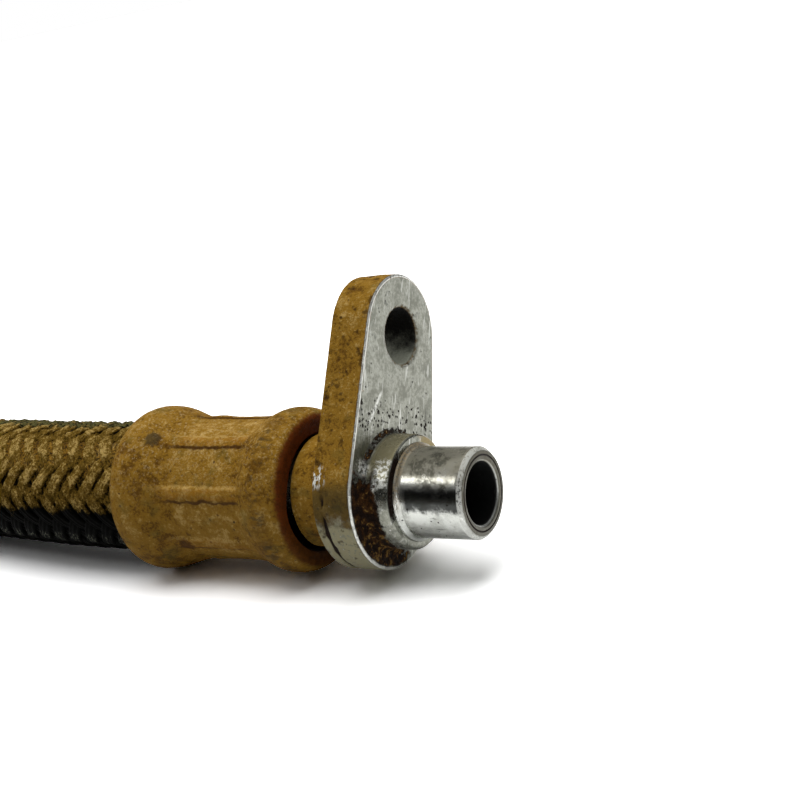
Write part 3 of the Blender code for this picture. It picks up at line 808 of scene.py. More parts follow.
def flange_grids():
    """Two fans of rays in front and behind, joined by the rim and through the bore. Gives
    each grid with whether it closes round and how much its points are worn."""
    grids = []
    for big in (True, False):
        edge, normal, rim_count = fan_edge(big)
        centre = np.array([0.0 if big else BOLT_SPACING, 0.0])
        front = ray_grid(edge, centre, boss_rows() if big else lip_rows(True), 0.0)
        rear = ray_grid(edge, centre, neck_rows() if big else lip_rows(False), -PLATE_THICKNESS)
        rim = rim_grid(edge, normal, rim_count)
        worn_front, worn_rim = np.zeros(front.shape[:2]), np.zeros(rim.shape[:2])
        worn_front[-1, :rim_count] = 1.0
        worn_rim[:4] = 1.0
        grids.append((front, True, worn_front))
        grids.append((rear, True, np.zeros(rear.shape[:2])))
        grids.append((rim, False, worn_rim))
    edge = fan_edge(True)[0]
    spoke = edge / np.linalg.norm(edge, axis=1, keepdims=True)
    ends = (boss_rows()[0], neck_rows()[0])
    bridge = [np.hstack([spoke * r, np.full((len(edge), 1), z)]) for r, z in ends]
    grids.append((np.stack(bridge), True, np.zeros((2, len(edge)))))
    return grids


def flange(fitting):
    """The grids in one mesh, with a groove round the lower rim where the forging's halves
    met, and shallow dents on all but the front."""
    points, faces, worn, first = [], [], [], 0
    for grid, closed, wear in flange_grids():
        points.append(grid.reshape(-1, 3))
        faces.append(grid_faces(*grid.shape[:2], close_columns=closed, first=first))
        worn.append(wear.ravel())
        first += len(points[-1])
    local = np.concatenate(points)
    radius = np.linalg.norm(local[:, :2], axis=1)
    from_flash = np.abs(local[:, 2] - FLASH_DEPTH) + 0.35 * MM * lumps(local, 1.6 * MM, 31)
    low = ramp(-local[:, 0], -1.0 * MM, 4.0 * MM)
    on_rim = ramp(radius, BIG_RADIUS - 0.1 * MM, BIG_RADIUS)
    groove = on_rim * low * ramp(np.abs(from_flash), 0.34 * MM, 0.1 * MM)
    world = fitting.place(local)
    dents = 0.045 * lumps(world, 2.6 * MM, 32) + 0.02 * lumps(world, 0.9 * MM, 33)
    spoke = local * [1, 1, 0] / np.maximum(radius, MM)[:, None]
    moved = local - spoke * (groove * 0.28 * MM)[:, None]
    moved += (ramp(-local[:, 2], 0.3 * MM, 1.5 * MM) * dents * MM)[:, None] * spoke
    values = {"place": local / MM, "groove": groove, "worn": np.concatenate(worn)}
    name = f"{fitting.end}_forging"
    piece = add_piece(name, fitting.place(moved), np.concatenate(faces), attributes=values)
    return finish_mesh(piece, weld=0.002 * MM)


flanges = [flange(fitting) for fitting in fittings]

# %% [markdown]
# ## Writing shaders as sums
# A material's pattern is arithmetic: noise, thresholds and mixtures. A small class wraps a
# node's socket, so that adding or multiplying two of them adds the Math node.

# %% Shader arithmetic
class Signal:
    """A value that varies over the surface."""

    def __init__(self, nodes, socket):
        self.nodes = nodes
        self.socket = socket

    def math(self, operation, first, second):
        settings = {"operation": operation}
        return self.nodes.node("ShaderNodeMath", settings, {0: first, 1: second})

    def __add__(self, other):
        return self.math("ADD", self, other)

    __radd__ = __add__

    def __sub__(self, other):
        return self.math("SUBTRACT", self, other)

    def __rsub__(self, other):
        return self.math("SUBTRACT", other, self)

    def __mul__(self, other):
        return self.math("MULTIPLY", self, other)

    def __truediv__(self, other):
        return self.math("DIVIDE", self, other)

    def __pow__(self, other):
        return self.math("POWER", self, other)

    def size(self):
        """The value without its sign."""
        return self.math("ABSOLUTE", self, 0.0)

    def larger(self, other):
        return self.math("MAXIMUM", self, other)

    def ramp(self, start, end):
        """0 at start and before, 1 at end and past it, eased at both."""
        settings = {"interpolation_type": "SMOOTHSTEP"}
        inputs = {"Value": self, "From Min": start, "From Max": end}
        return self.nodes.node("ShaderNodeMapRange", settings, inputs)


def paint(red, green, blue):
    """A colour as a paint chart gives it, 0 to 255, in the linear light that nodes use."""
    shares = (channel / 255 for channel in (red, green, blue))
    return (*(s / 12.92 if s < 0.04045 else ((s + 0.055) / 1.055) ** 2.4 for s in shares), 1.0)


class NodeTree:
    """Adds nodes to the tree of a material or of the world."""

    def __init__(self, tree):
        self.tree = tree

    def node(self, kind, settings, inputs, output=0):
        """Adds a node: its settings first, then the values or links of its sockets."""
        made = self.tree.nodes.new(kind)
        for key, value in settings.items():
            setattr(made, key, value)
        for key, value in inputs.items():
            self.feed(made.inputs[key], value)
        return Signal(self, made.outputs[output])

    def feed(self, socket, value):
        """Links a signal into a socket, or sets the socket's value."""
        if isinstance(value, Signal):
            self.tree.links.new(value.socket, socket)
        else:
            socket.default_value = value

    def parts(self, vector):
        """The three numbers of a vector."""
        split = self.node("ShaderNodeSeparateXYZ", {}, {0: vector})
        return [Signal(self, output) for output in split.socket.node.outputs]

    def about_axis(self, place):
        """The three numbers of a place, and its distance from the bore's axis."""
        x, y, z = self.parts(place)
        return x, y, z, (x * x + y * y) ** 0.5


class Finish(NodeTree):
    """A material and the nodes that it is made of. Its place is in mm."""

    def __init__(self, name):
        self.material = bpy.data.materials.new(name)
        self.material.use_nodes = True
        super().__init__(self.material.node_tree)
        self.shader = self.tree.nodes["Principled BSDF"]
        place = self.node("ShaderNodeTexCoord", {}, {}, "Object")
        scale = {0: place, "Scale": 1 / MM}
        self.place = self.node("ShaderNodeVectorMath", {"operation": "SCALE"}, scale)

    def own(self, name):
        """A value that the mesh keeps for each of its points."""
        return self.node("ShaderNodeAttribute", {"attribute_name": name}, {}, "Fac")

    def own_place(self, name="place"):
        """Three values that the mesh keeps for each of its points."""
        return self.node("ShaderNodeAttribute", {"attribute_name": name}, {}, "Vector")

    def moved(self, at, offset, stretch=(1, 1, 1)):
        """The place, or another vector, stretched and shifted."""
        inputs = {"Vector": at or self.place, "Location": (offset,) * 3, "Scale": stretch}
        return self.node("ShaderNodeMapping", {}, inputs)

    def noise(self, size, detail, roughness, at=None, offset=0.0, stretch=(1, 1, 1)):
        """Cloudy noise, 0 to 1 with its middle at 0.5, with blobs of this size in mm."""
        inputs = {"Vector": self.moved(at, offset, stretch), "Scale": 1 / size}
        inputs |= {"Detail": detail, "Roughness": roughness}
        return self.node("ShaderNodeTexNoise", {}, inputs)

    def specks(self, size, at=None, offset=0.0):
        """Distance from scattered points, 0 at each point, in units of their spacing."""
        inputs = {"Vector": self.moved(at, offset), "Scale": 1 / size}
        return self.node("ShaderNodeTexVoronoi", {}, inputs)

    def choose(self, mask, first, second):
        """The first number where the mask is 0, and the second where it is 1."""
        return self.node("ShaderNodeMix", {"data_type": "FLOAT"}, {0: mask, 2: first, 3: second}, 0)

    def blend(self, mask, first, second):
        """The same for two colours."""
        inputs = {0: mask, 6: first, 7: second}
        return self.node("ShaderNodeMix", {"data_type": "RGBA"}, inputs, 2)

    def layers(self, colour, *coats):
        """Lays coats over a colour in turn: each is a mask and the colour that it shows."""
        for mask, shade in coats:
            colour = self.blend(mask, colour, shade)
        return colour

    def near(self, vector, spot, reach):
        """1 at a spot and 0 beyond its reach, both in mm."""
        gap = self.node("ShaderNodeVectorMath", {"operation": "DISTANCE"}, {0: vector, 1: spot}, 1)
        return gap.ramp(reach, reach * 0.35)

    def coat(self, colour, roughness, metallic, height, shine=0.25):
        """Feeds the shader. Height is in mm, and only bends the light."""
        inputs = {"Strength": 1.0, "Distance": MM, "Height": height}
        surface = {
            "Base Color": colour,
            "Roughness": roughness,
            "Metallic": metallic,
            "Normal": self.node("ShaderNodeBump", {}, inputs),
            "Specular IOR Level": shine,
        }
        for name, value in surface.items():
            self.feed(self.shader.inputs[name], value)
        print(self.material.name, "has", len(self.tree.nodes), "nodes")
        return self.material


# %% [markdown]
# ## Dried mud
# The same ochre mud dried on every piece, so one function mixes it: a warm brown, paler
# where it is thick, darker and greener where it is thin or damp, with small dark pits.

# %% Mud
MUD_MIDDLE = paint(136, 101, 31)
MUD_PALE_AND_HIGHLIGHT = paint(184, 152, 90)
MUD_DARK_AND_SHADE = paint(92, 62, 12)
MUD_PIT = paint(44, 26, 8)
MUD_GREEN = paint(92, 84, 40)


def dried_mud(finish, offset=0.0):
    """Colour and height in mm of the mud, from clouds of three sizes and fine pits."""
    broad = finish.noise(7.0, 2.0, 0.5, offset=offset)
    middle = finish.noise(1.6, 4.0, 0.65, offset=offset + 20)
    fine = finish.noise(0.35, 3.0, 0.7, offset=offset + 40)
    green = finish.noise(4.2, 3.0, 0.6, offset=offset + 60)
    tone = broad * 0.6 + middle * 1.0 + fine * 0.8
    crumb = finish.specks(0.55, offset=offset + 30).ramp(0.22, 0.12) * fine.ramp(0.5, 0.6)
    pit = finish.specks(1.3, offset=offset + 80).ramp(0.2, 0.08) * middle.ramp(0.48, 0.58)
    colour = finish.layers(
        MUD_DARK_AND_SHADE,
        (tone.ramp(0.95, 1.2), MUD_MIDDLE),
        (tone.ramp(1.24, 1.5) * 0.75, MUD_PALE_AND_HIGHLIGHT),
        (crumb * 0.6, MUD_PALE_AND_HIGHLIGHT),
        (green.ramp(0.55, 0.7) * 0.4, MUD_GREEN),
        (pit * 0.8, MUD_PIT),
    )
    return colour, middle * 0.24 + fine * 0.16 - pit * 0.08 + crumb * 0.03


# %% [markdown]
# ## Finish of the sleeve
# Mud covers the whole sleeve, with pale dust on top that is also painted sheen where the top
# is lit. Each ridge is warmer, with a painted highlight as a pale line on its upper flank and
# painted shadow as a dark line under its lower flank. A darker, greyer band round the front
# bulge's rear slope is painted shade. Three stains lie where the photograph has them. Behind
# its edge the turned-in front is dark red-brown, because nothing rubs it, and darker low
# down, and the hollow round the neck is painted nearly black as shade.

# %% Sleeve finish
MOUTH_BROWN = paint(96, 46, 12)
MOUTH_DARK = paint(62, 32, 8)
STAIN_AND_SHADE_BLACK = paint(12, 8, 4)
STAIN_AND_SHADE_GREY = paint(62, 52, 32)
STAIN_AND_SHADOW_BROWN = paint(62, 34, 6)
RIDGE_ORANGE = paint(148, 100, 26)
DUST_AND_SHEEN = paint(184, 160, 116)
STAINS = (  # place in mm from the plate's face, reach in mm, colour and share
    ((5.9, 9.1, -32.4), 1.8, STAIN_AND_SHADE_GREY, 0.8),
    ((-8.3, 5.2, -28.4), 2.1, STAIN_AND_SHADOW_BROWN, 0.8),
    ((-5.0, 8.1, -18.6), 0.5, STAIN_AND_SHADE_BLACK, 0.9),
)


def ridge_layers(finish, streak, crumbled):
    """Coats along each ridge, by the way across it: -1 at its upper flank, 1 at its lower.
    The pale line on the upper flank is a painted highlight, and the dark line and band under
    the lower flank are painted shadow.
    """
    flank = finish.own("flank")
    pressed = finish.own("pressed")
    strip = flank.size().ramp(1.1, 0.7) * pressed * streak.ramp(0.35, 0.6)
    # painted highlight on the upper flank; painted shadow under the lower flank
    upper = (flank + 1.0).size().ramp(0.5, 0.2) * pressed * crumbled.ramp(0.42, 0.54)
    under = (flank - 1.05).size().ramp(0.36, 0.12) * pressed * streak.ramp(0.36, 0.5)
    shadow = (flank - 0.95).size().ramp(1.4, 0.2) * pressed * crumbled.ramp(0.4, 0.6)
    lines = ((upper * 0.5, MUD_PALE_AND_HIGHLIGHT), (under * 0.85, STAIN_AND_SHADOW_BROWN), (shadow * 0.3, STAIN_AND_SHADOW_BROWN))
    return (strip * 0.45, RIDGE_ORANGE), lines


def mouth_layers(finish, streak, above):
    """Coats of the turned-in front and of the hollow, by the height above the floor. The front
    is darker low down; the hollow is painted nearly black as shade, darkest low down.
    """
    patch = finish.noise(0.8, 4.0, 0.7, offset=55)
    brown = finish.blend(above.ramp(13.0, 5.0) * 0.5, MOUTH_BROWN, MUD_DARK_AND_SHADE)
    brown = finish.blend(patch.ramp(0.45, 0.62) * 0.5, brown, MOUTH_DARK)
    # painted shade: the hollow round the neck is nearly black, darkest low down
    hollow = finish.blend((above + patch * 3.0).ramp(16.0, 13.2), MOUTH_DARK, STAIN_AND_SHADE_BLACK)
    front = (finish.own("inner") + (streak - 0.5) * 0.6).ramp(0.2, 0.9)
    return (front, brown), (finish.own("deep"), hollow)


def sleeve_finish():
    finish = Finish("muddy_sleeve")
    colour, height = dried_mud(finish)
    place = finish.own_place()
    depth = finish.parts(place)[2]
    above = finish.parts(finish.place)[2]
    streak = finish.noise(0.9, 4.0, 0.6, offset=5, stretch=(0.25, 1, 1))
    crumbled = finish.noise(0.5, 3.0, 0.7, offset=37)
    darker_mud = finish.noise(1.3, 4.0, 0.65, offset=71, stretch=(0.5, 1, 1))
    # pale dust on top, which is also painted sheen where the top is lit
    dust_and_sheen = finish.noise(0.42, 3.0, 0.75, offset=91).ramp(0.52, 0.66) * above.ramp(11.0, 19.0)
    strip, lines = ridge_layers(finish, streak, crumbled)
    colour = finish.layers(colour, strip, (dust_and_sheen * 0.45, DUST_AND_SHEEN), *lines)
    ragged = (streak - 0.5) * 0.91 + (crumbled - 0.5) * 1.3
    for spot, reach, shade, share in STAINS:
        mask = finish.near(place, spot, reach) * 0.8 + ragged
        colour = finish.blend(mask.ramp(0.3, 0.75) * share, colour, shade)
    # painted shade: a darker, greyer band round the front bulge's rear slope, with greyer patches in
    # it
    slope = depth.ramp(-15.4, -14.2) * depth.ramp(-11.9, -13.0)
    colour = finish.layers(
        colour,
        (slope * streak.ramp(0.4, 0.6) * 0.6, MUD_DARK_AND_SHADE),
        (slope * darker_mud.ramp(0.5, 0.64) * 0.7, STAIN_AND_SHADE_GREY),
        *mouth_layers(finish, streak, above),
    )
    return finish.coat(colour, 0.72, 0.0, height + streak * 0.05, 0.1)


# %% [markdown]
# ## Finish of the flange
# The front face is bare grey steel with pits and scratches, because it was clamped to the
# cooler. Mud covers the rim, the back and the neck, but for the lowest part of the rim, and
# it is darker and greener on the rim's lower half. Rust and old dirt fill the corner round
# the collar, most of all on its lower left, with pale granules that are partly painted
# highlights, and the plate's edge is worn to a bright line. The collar's wall carries a
# painted highlight and, on its upper side, a greenish coat that is also painted sheen. The
# bolt hole is painted dark above and grey below, as painted shade and a painted reflection.

# %% Flange finish
STEEL = paint(172, 173, 162)
STEEL_DULL = paint(118, 119, 108)
STEEL_DARK = paint(60, 62, 55)
STEEL_WORN_AND_GLINT = paint(226, 227, 220)
RUST = paint(60, 36, 13)
RUST_DARK = paint(26, 14, 6)
PALE_RUST_AND_GLINT = paint(150, 118, 62)
OCHRE_STAIN = paint(132, 116, 74)
EDGE_BROWN = paint(112, 78, 40)
GREEN_FILM_AND_SHEEN = paint(146, 138, 104)
HOLE_DARK = paint(12, 12, 10)
HOLE_GREY = paint(150, 152, 138)
FOOT_GREY = paint(150, 146, 118)
DARKER_LOWER_RIM = paint(62, 56, 32)
CHIP_PLACE = (0.9, 9.75, -5.0)  # bare spots in the mud and in the rust, in mm
FLAKE_PLACE = (2.3, 7.6, 0.3)
GOUGE_X, GOUGE_Y, GOUGE_LEAN = 9.9, 5.05, 0.557  # a long scratch on the face


def angle_mask(x, y, radius, degrees):
    """Cosine of the angle about the bore between a point and a direction."""
    turn = math.radians(degrees)
    return (x * math.cos(turn) + y * math.sin(turn)) / radius


def pitted_steel(finish, place, cloud, grain):
    """Steel in dull and bright clouds, with scratches, pits that gather above the collar,
    one long scratch and some dirt. Gives the colour, the scratches and the pits."""
    x, y, _ = finish.parts(place)
    scratch = finish.noise(0.7, 3.0, 0.6, at=place, offset=14, stretch=(0.12, 1.4, 1))
    grazed = finish.noise(0.9, 3.0, 0.6, at=place, offset=52, stretch=(0.2, 0.9, 1))
    gather = x.ramp(13.0, 9.5) * x.ramp(5.0, 7.0)
    pits = finish.specks(0.62, at=place, offset=4)
    craters = finish.specks(1.0, at=place, offset=11) + (grain - 0.5) * 0.3
    pit = pits.ramp(0.3, 0.16) * (cloud + gather * 0.16).ramp(0.55, 0.66)
    pit = pit.larger(craters.ramp(0.3, 0.2) * (cloud + gather * 0.2).ramp(0.62, 0.68))
    across = (x - GOUGE_X) * GOUGE_LEAN + (y - GOUGE_Y)
    gouge = across.size().ramp(0.34, 0.12) * (x - GOUGE_X).size().ramp(2.4, 1.5)
    far_side = x.ramp(12.0, 6.0) * y.ramp(2.0, 7.0)
    dirty = (cloud + far_side * 0.12 + grain * 0.3).ramp(0.74, 0.84)
    colour = finish.layers(
        STEEL_DULL,
        ((cloud * 0.8 + grain * 0.6).ramp(0.55, 0.9), STEEL),
        (scratch.ramp(0.6, 0.7) * 0.7, STEEL_WORN_AND_GLINT),
        (scratch.ramp(0.36, 0.3) * 0.6, STEEL_DARK),
        (pit * 0.9, RUST_DARK),
        (grazed.ramp(0.63, 0.68) * 0.4, STEEL_WORN_AND_GLINT),
        (gouge * 0.8, STEEL_WORN_AND_GLINT),
        (dirty * 0.6, STEEL_DARK),
    )
    return colour, scratch, pit


def mud_over(steel, finish, place, cloud, grain):
    """Mud on all but the front face and the lowest part of the rim, its foot, with nicks,
    dark blots and a bare chip. Gives the colour, its height, the foot and what is steel."""
    x, _, z, radius = finish.about_axis(place)
    mud, mud_height = dried_mud(finish, 3.0)
    bare = (z + (grain - 0.5) * 0.5).ramp(-0.3, -0.05)
    foot = finish.parts(finish.place)[2] + (cloud - 0.5) * 9.0
    foot = foot.ramp(12.6, 10.4) * z.ramp(-6.2, -5.4) * (1 - bare)
    shown = bare.larger(foot * 0.85)
    # darker and greener on the lower half of the rim
    darker_mud = (x + (cloud - 0.5) * 4.0).ramp(1.6, -1.2) * radius.ramp(8.8, 9.4)
    nick = finish.noise(0.55, 3.0, 0.7, at=place, offset=27, stretch=(0.35, 1, 1))
    blot = finish.noise(1.5, 3.0, 0.6, at=place, offset=31)
    colour = finish.layers(
        mud,
        (darker_mud * 0.7, DARKER_LOWER_RIM),
        (shown, finish.blend(foot * grain.ramp(0.3, 0.5), steel, FOOT_GREY)),
        (nick.ramp(0.68, 0.74) * (1 - bare) * 0.6, STEEL),
        (blot.ramp(0.57, 0.67) * (1 - bare) * 0.7, MUD_PIT),
        (finish.near(place, CHIP_PLACE, 1.9) * nick.ramp(0.5, 0.56), STEEL_WORN_AND_GLINT),
    )
    return colour, mud_height, foot, shown


def corner_rust(finish, place, grain, clump):
    """Rust in the corner round the collar: a wide patch on its lower left, and a thin arc
    of granules above. Gives the mask and the colour."""
    x, y, z, radius = finish.about_axis(place)
    corner = (z + (clump - 0.5) * 2.4).ramp(2.3, 1.9) * z.ramp(-0.4, -0.1)
    heavy = angle_mask(x, y, radius, 144) + (clump - 0.5) * 0.7 + (grain - 0.5) * 0.3
    heavy = heavy.ramp(0.42, 0.52) * (radius + (clump - 0.5) * 1.2).ramp(9.6, 9.2)
    arc = (angle_mask(x, y, radius, 27) + (grain - 0.5) * 0.4).ramp(0.55, 0.7)
    arc = arc * z.ramp(0.5, 0.34) * radius.ramp(7.95, 7.75)
    arc = arc * (grain + clump * 0.5).ramp(0.68, 0.8)
    # pale golden granules in the rust, partly painted highlights
    granule_glint = (clump * 0.6 + grain * 0.6 + x.ramp(-2.0, -7.0) * 0.06).ramp(0.68, 0.76)
    colour = finish.layers(
        RUST_DARK,
        (clump.ramp(0.44, 0.56), RUST),
        (granule_glint * 0.8, PALE_RUST_AND_GLINT),
    )
    return corner * heavy.larger(arc), colour


def collar_layers(finish, place, grain, rust):
    """Coats of the collar: a bare flake, a dark band and an ochre stain round its end, a
    thin greenish coat on the wall's upper side that is also painted sheen, and a painted
    highlight on its wall. Gives them, and how far each keeps it from shining."""
    x, y, z, radius = finish.about_axis(place)
    ring = z.ramp(3.6, 3.75) * radius.ramp(7.2, 7.0)
    flake = finish.near(place, FLAKE_PLACE, 1.5) * grain.ramp(0.46, 0.54)
    band = ring * (angle_mask(x, y, radius, 88) + (grain - 0.5) * 0.3).ramp(0.78, 0.88)
    ochre = ring * (angle_mask(x, y, radius, -35) + (grain - 0.5) * 0.5).ramp(0.7, 0.85)
    # a thin greenish film on the wall's upper side, painted lighter and less metallic as sheen
    film_and_sheen = z.ramp(0.3, 0.9) * z.ramp(3.7, 3.5) * angle_mask(x, y, radius, 20).ramp(0.2, 0.8)
    film_and_sheen = film_and_sheen * (1 - rust)
    # painted highlight: bright specks on the collar's wall
    painted_glint = (angle_mask(x, y, radius, 78) + (grain - 0.5) * 0.12).ramp(0.955, 0.985)
    painted_glint = painted_glint * z.ramp(1.2, 1.7) * z.ramp(3.7, 3.5) * grain.ramp(0.42, 0.54)
    coats = (
        (flake, STEEL_WORN_AND_GLINT),
        (band, RUST_DARK),
        (ochre * 0.85, OCHRE_STAIN),
        (film_and_sheen * 0.8, GREEN_FILM_AND_SHEEN),
        (painted_glint * 0.85, STEEL_WORN_AND_GLINT),
    )
    return coats, band, (1 - flake) * (1 - film_and_sheen * 0.45) * (1 - painted_glint * 0.5)


def forging_finish():
    finish = Finish("worn_forging")
    place = finish.own_place()
    x, y, z = finish.parts(place)
    cloud = finish.noise(2.6, 4.0, 0.6, at=place)
    grain = finish.noise(0.5, 4.0, 0.7, at=place, offset=9)
    clump = finish.noise(1.1, 4.0, 0.62, at=place, offset=43)
    steel, scratch, pit = pitted_steel(finish, place, cloud, grain)
    colour, mud_height, foot, shown = mud_over(steel, finish, place, cloud, grain)
    rust, rust_colour = corner_rust(finish, place, grain, clump)
    coats, band, shining = collar_layers(finish, place, grain, rust)
    from_hole = x - BOLT_SPACING / MM
    hole = ((from_hole**2 + y * y) ** 0.5).ramp(3.75, 3.55)
    # painted shade and a painted reflection: the bolt hole's wall is dark towards its top and grey
    # towards its bottom
    hole_shade_tone = (cloud * 0.6 + grain * 0.3 - from_hole * 0.12).ramp(0.3, 0.8)
    edge = finish.own("worn")
    worn = edge.ramp(0.3, 0.8) * scratch.ramp(0.3, 0.42) * (1 - rust * 0.5)
    edge_rust = edge.ramp(0.1, 0.4) * (1 - worn) * x.ramp(-2.0, 2.0)
    colour = finish.layers(
        colour,
        (rust, rust_colour),
        *coats,
        (finish.own("groove").ramp(0.3, 0.7), RUST_DARK),
        (hole, finish.blend(hole_shade_tone, HOLE_DARK, HOLE_GREY)),
        (worn, STEEL_WORN_AND_GLINT),
        (edge_rust * grain.ramp(0.4, 0.55), EDGE_BROWN),
    )
    metal = (shown * (1 - rust) * (1 - pit) * (1 - band) * (1 - foot * 0.5)).larger(worn)
    polished = z.ramp(0.6, 1.2) * 0.1
    rough = finish.choose(metal, 0.75, cloud * 0.24 + 0.2 + grain * 0.08 - polished)
    relief = grain * 0.035 - pit * 0.06 + rust.larger(band) * (grain * 0.16 + clump * 0.9)
    height = finish.choose(shown, mud_height, relief)
    return finish.coat(colour, rough, metal * (1 - hole * 0.6) * shining, height, 0.12)


# %% [markdown]
# ## Finish of the stem
# The spigot slides in a seal, so it is the brightest piece. Its steel is nearly smooth,
# with fine turning marks, a brown film on top that is also painted sheen, paler and less
# metallic, a painted dark band along its lower left that is a painted reflection of the dark
# horizon, and a few pits. The chamfer is worn bright, and the bore is painted black as shade.

# %% Stem finish
BRIGHT_STEEL = paint(212, 214, 208)
BROWN_FILM_AND_SHEEN = paint(138, 130, 104)
BORE_SHADE_BLACK = paint(8, 8, 7)
PAINTED_DARK_BAND = paint(30, 32, 31)
RING_GREY = paint(78, 75, 62)


def tube_finish():
    finish = Finish("polished_tube")
    place = finish.own_place()
    x, y, z, radius = finish.about_axis(place)
    cloud = finish.noise(2.0, 4.0, 0.65, at=place)
    grain = finish.noise(0.35, 3.0, 0.7, at=place, stretch=(1, 1, 2))
    turned = finish.noise(0.5, 2.0, 0.5, at=place, offset=3, stretch=(0.04, 0.04, 1))
    scratch = finish.noise(0.8, 3.0, 0.65, at=place, offset=17, stretch=(0.5, 1.6, 0.3))
    # painted sheen: a brown film on top, paler and less metallic than the steel round it
    film_and_sheen = (finish.parts(finish.place)[2] + (cloud - 0.5) * 6.0).ramp(12.0, 16.0)
    # painted reflection: a dark band along the lower left stands for the dark horizon mirrored in the
    # steel
    dark_band_mask = angle_mask(x, y, radius, 105) + (cloud - 0.5) * 0.08 + (grain - 0.5) * 0.04
    grime = (cloud + grain * 0.4 - (z - 8.2).size() * 0.04).ramp(0.62, 0.76)
    grime = grime * angle_mask(x, y, radius, 60).ramp(0.3, 0.8)
    pit = finish.specks(0.85, at=place, offset=2).ramp(0.16, 0.08) * cloud.ramp(0.46, 0.56)
    end = z.ramp(12.62, 12.72)
    groove = end * (radius - END_GROOVE / MM).size().ramp(0.16, 0.08)
    # painted shade: the bore's wall is painted black
    inside = radius.ramp(4.0, 3.82)
    stain = z.ramp(4.7, 4.2) * grain.ramp(0.4, 0.55) * angle_mask(x, y, radius, 50).ramp(0.2, 0.8)
    lip = z.ramp(12.2, 12.35) * radius.ramp(5.1, 5.2) * (grain + cloud * 0.5).ramp(0.58, 0.8)
    colour = finish.layers(
        BRIGHT_STEEL,
        (cloud.ramp(0.42, 0.66) * 0.4, STEEL_DULL),
        (film_and_sheen * 0.7, BROWN_FILM_AND_SHEEN),
        (dark_band_mask.ramp(0.95, 0.985) * z.ramp(4.4, 5.4) * 0.92, PAINTED_DARK_BAND),
        (grime * 0.6, STEEL_DARK),
        (scratch.ramp(0.6, 0.7) * 0.5, STEEL_DARK),
        (pit * 0.8, RUST_DARK),
        (end * radius.ramp(5.3, 5.15) * (0.7 + grain * 0.4), RING_GREY),
        (groove, RUST_DARK),
        (inside, BORE_SHADE_BLACK),
        (stain * 0.5, PALE_RUST_AND_GLINT),
        (lip * 0.75, STEEL_WORN_AND_GLINT),
    )
    metal = (1 - inside) * (1 - stain * 0.5) * (1 - pit) * (1 - lip * 0.6) * (1 - film_and_sheen * 0.3)
    rough = cloud * 0.14 + turned * 0.12 + 0.1 + inside * 0.4 + end * 0.16 + lip * 0.2
    return finish.coat(colour, rough, metal, grain * 0.008 + turned * 0.012 - pit * 0.04)


# %% [markdown]
# ## Finish of the braid
# The yarn is black. Mud turned its upper two thirds ochre, with painted shade in the hollows
# where the yarns part, and is worn away along the top; the mud is also darker towards the
# underside. The underside kept the bare yarn, with painted grey highlights on the crowns of
# its yarns. Between the yarns the rubber shows, or the mud that fills the gaps, darkened in
# patches as painted shade.

# %% Braid finish
YARN_BLACK = paint(4, 4, 3)
YARN_GREY = paint(92, 88, 52)
YARN_GLINT = paint(120, 122, 108)
BRAID_MUD = paint(116, 90, 34)
BRAID_MUD_PALE = paint(206, 174, 104)
BRAID_MUD_DARK_AND_SHADE = paint(26, 18, 4)


def braid_finish():
    finish = Finish("muddy_braid")
    lay = finish.own_place("lay")
    mud = finish.own("mud")
    lift = finish.own("lift")
    height = finish.own("height")
    fine = finish.noise(0.34, 4.0, 0.8)
    middle = finish.noise(1.1, 4.0, 0.7, offset=12)
    fibre = finish.noise(0.2, 2.0, 0.6, at=lay, stretch=(1.4, 0.3, 1))
    # painted shade: the mud is darker where a strand sits low, in the hollows between yarns, and
    # paler where it stands high
    tone = fine * 1.7 + middle * 1.0 + height * 0.42 + fibre * 0.45
    dirt = finish.layers(
        BRAID_MUD_DARK_AND_SHADE,
        (tone.ramp(1.42, 1.78), BRAID_MUD),
        (tone.ramp(1.86, 2.15) * 0.9, BRAID_MUD_PALE),
        # the mud is darker towards the underside
        ((lift + (fine - 0.5) * 0.5).ramp(0.3, -0.1) * 0.65, BRAID_MUD_DARK_AND_SHADE),
    )
    clean = finish.own("crest").ramp(0.87, 0.95)
    cover = (mud * 1.1 + (middle - 0.5) * 1.4 - clean * 0.78).ramp(0.3, 0.62)
    # painted highlight: pale grey glints on the crowns of the bare yarn underneath
    crown_glint = lift.ramp(-0.42, -0.52) * lift.ramp(-0.78, -0.66) * height.ramp(0.72, 0.95)
    colour = finish.layers(
        YARN_BLACK,
        (fibre.ramp(0.5, 0.8) * 0.02, YARN_GREY),
        (crown_glint * fibre.ramp(0.52, 0.64), YARN_GLINT),
        (clean, finish.blend(fine.ramp(0.42, 0.56), YARN_BLACK, YARN_GREY)),
        (cover, dirt),
    )
    rough = finish.choose(cover, 0.5, 0.9)
    return finish.coat(colour, rough, 0.0, fibre * 0.06 + fine * 0.5 * cover, 0.01)


def rubber_finish():
    finish = Finish("rubber_and_mud")
    mud, mud_height = dried_mud(finish, 9.0)
    filled = finish.own("mud")
    crumb = finish.noise(0.34, 4.0, 0.8)
    # painted shade: the mud in the gaps between the yarns is darkened in patches
    shade = finish.blend(crumb.ramp(0.4, 0.6), BRAID_MUD_DARK_AND_SHADE, mud)
    colour = finish.blend(filled.ramp(0.35, 0.75), YARN_BLACK, shade)
    return finish.coat(colour, 0.7, 0.0, mud_height, 0.1)


# %% [markdown]
# ## Finishes onto pieces
# Each piece gets its finish and its place on the frame, and the imported piece that it
# replaces is hidden. Both fittings share their finishes, because a finish reads the piece's
# own coordinates.

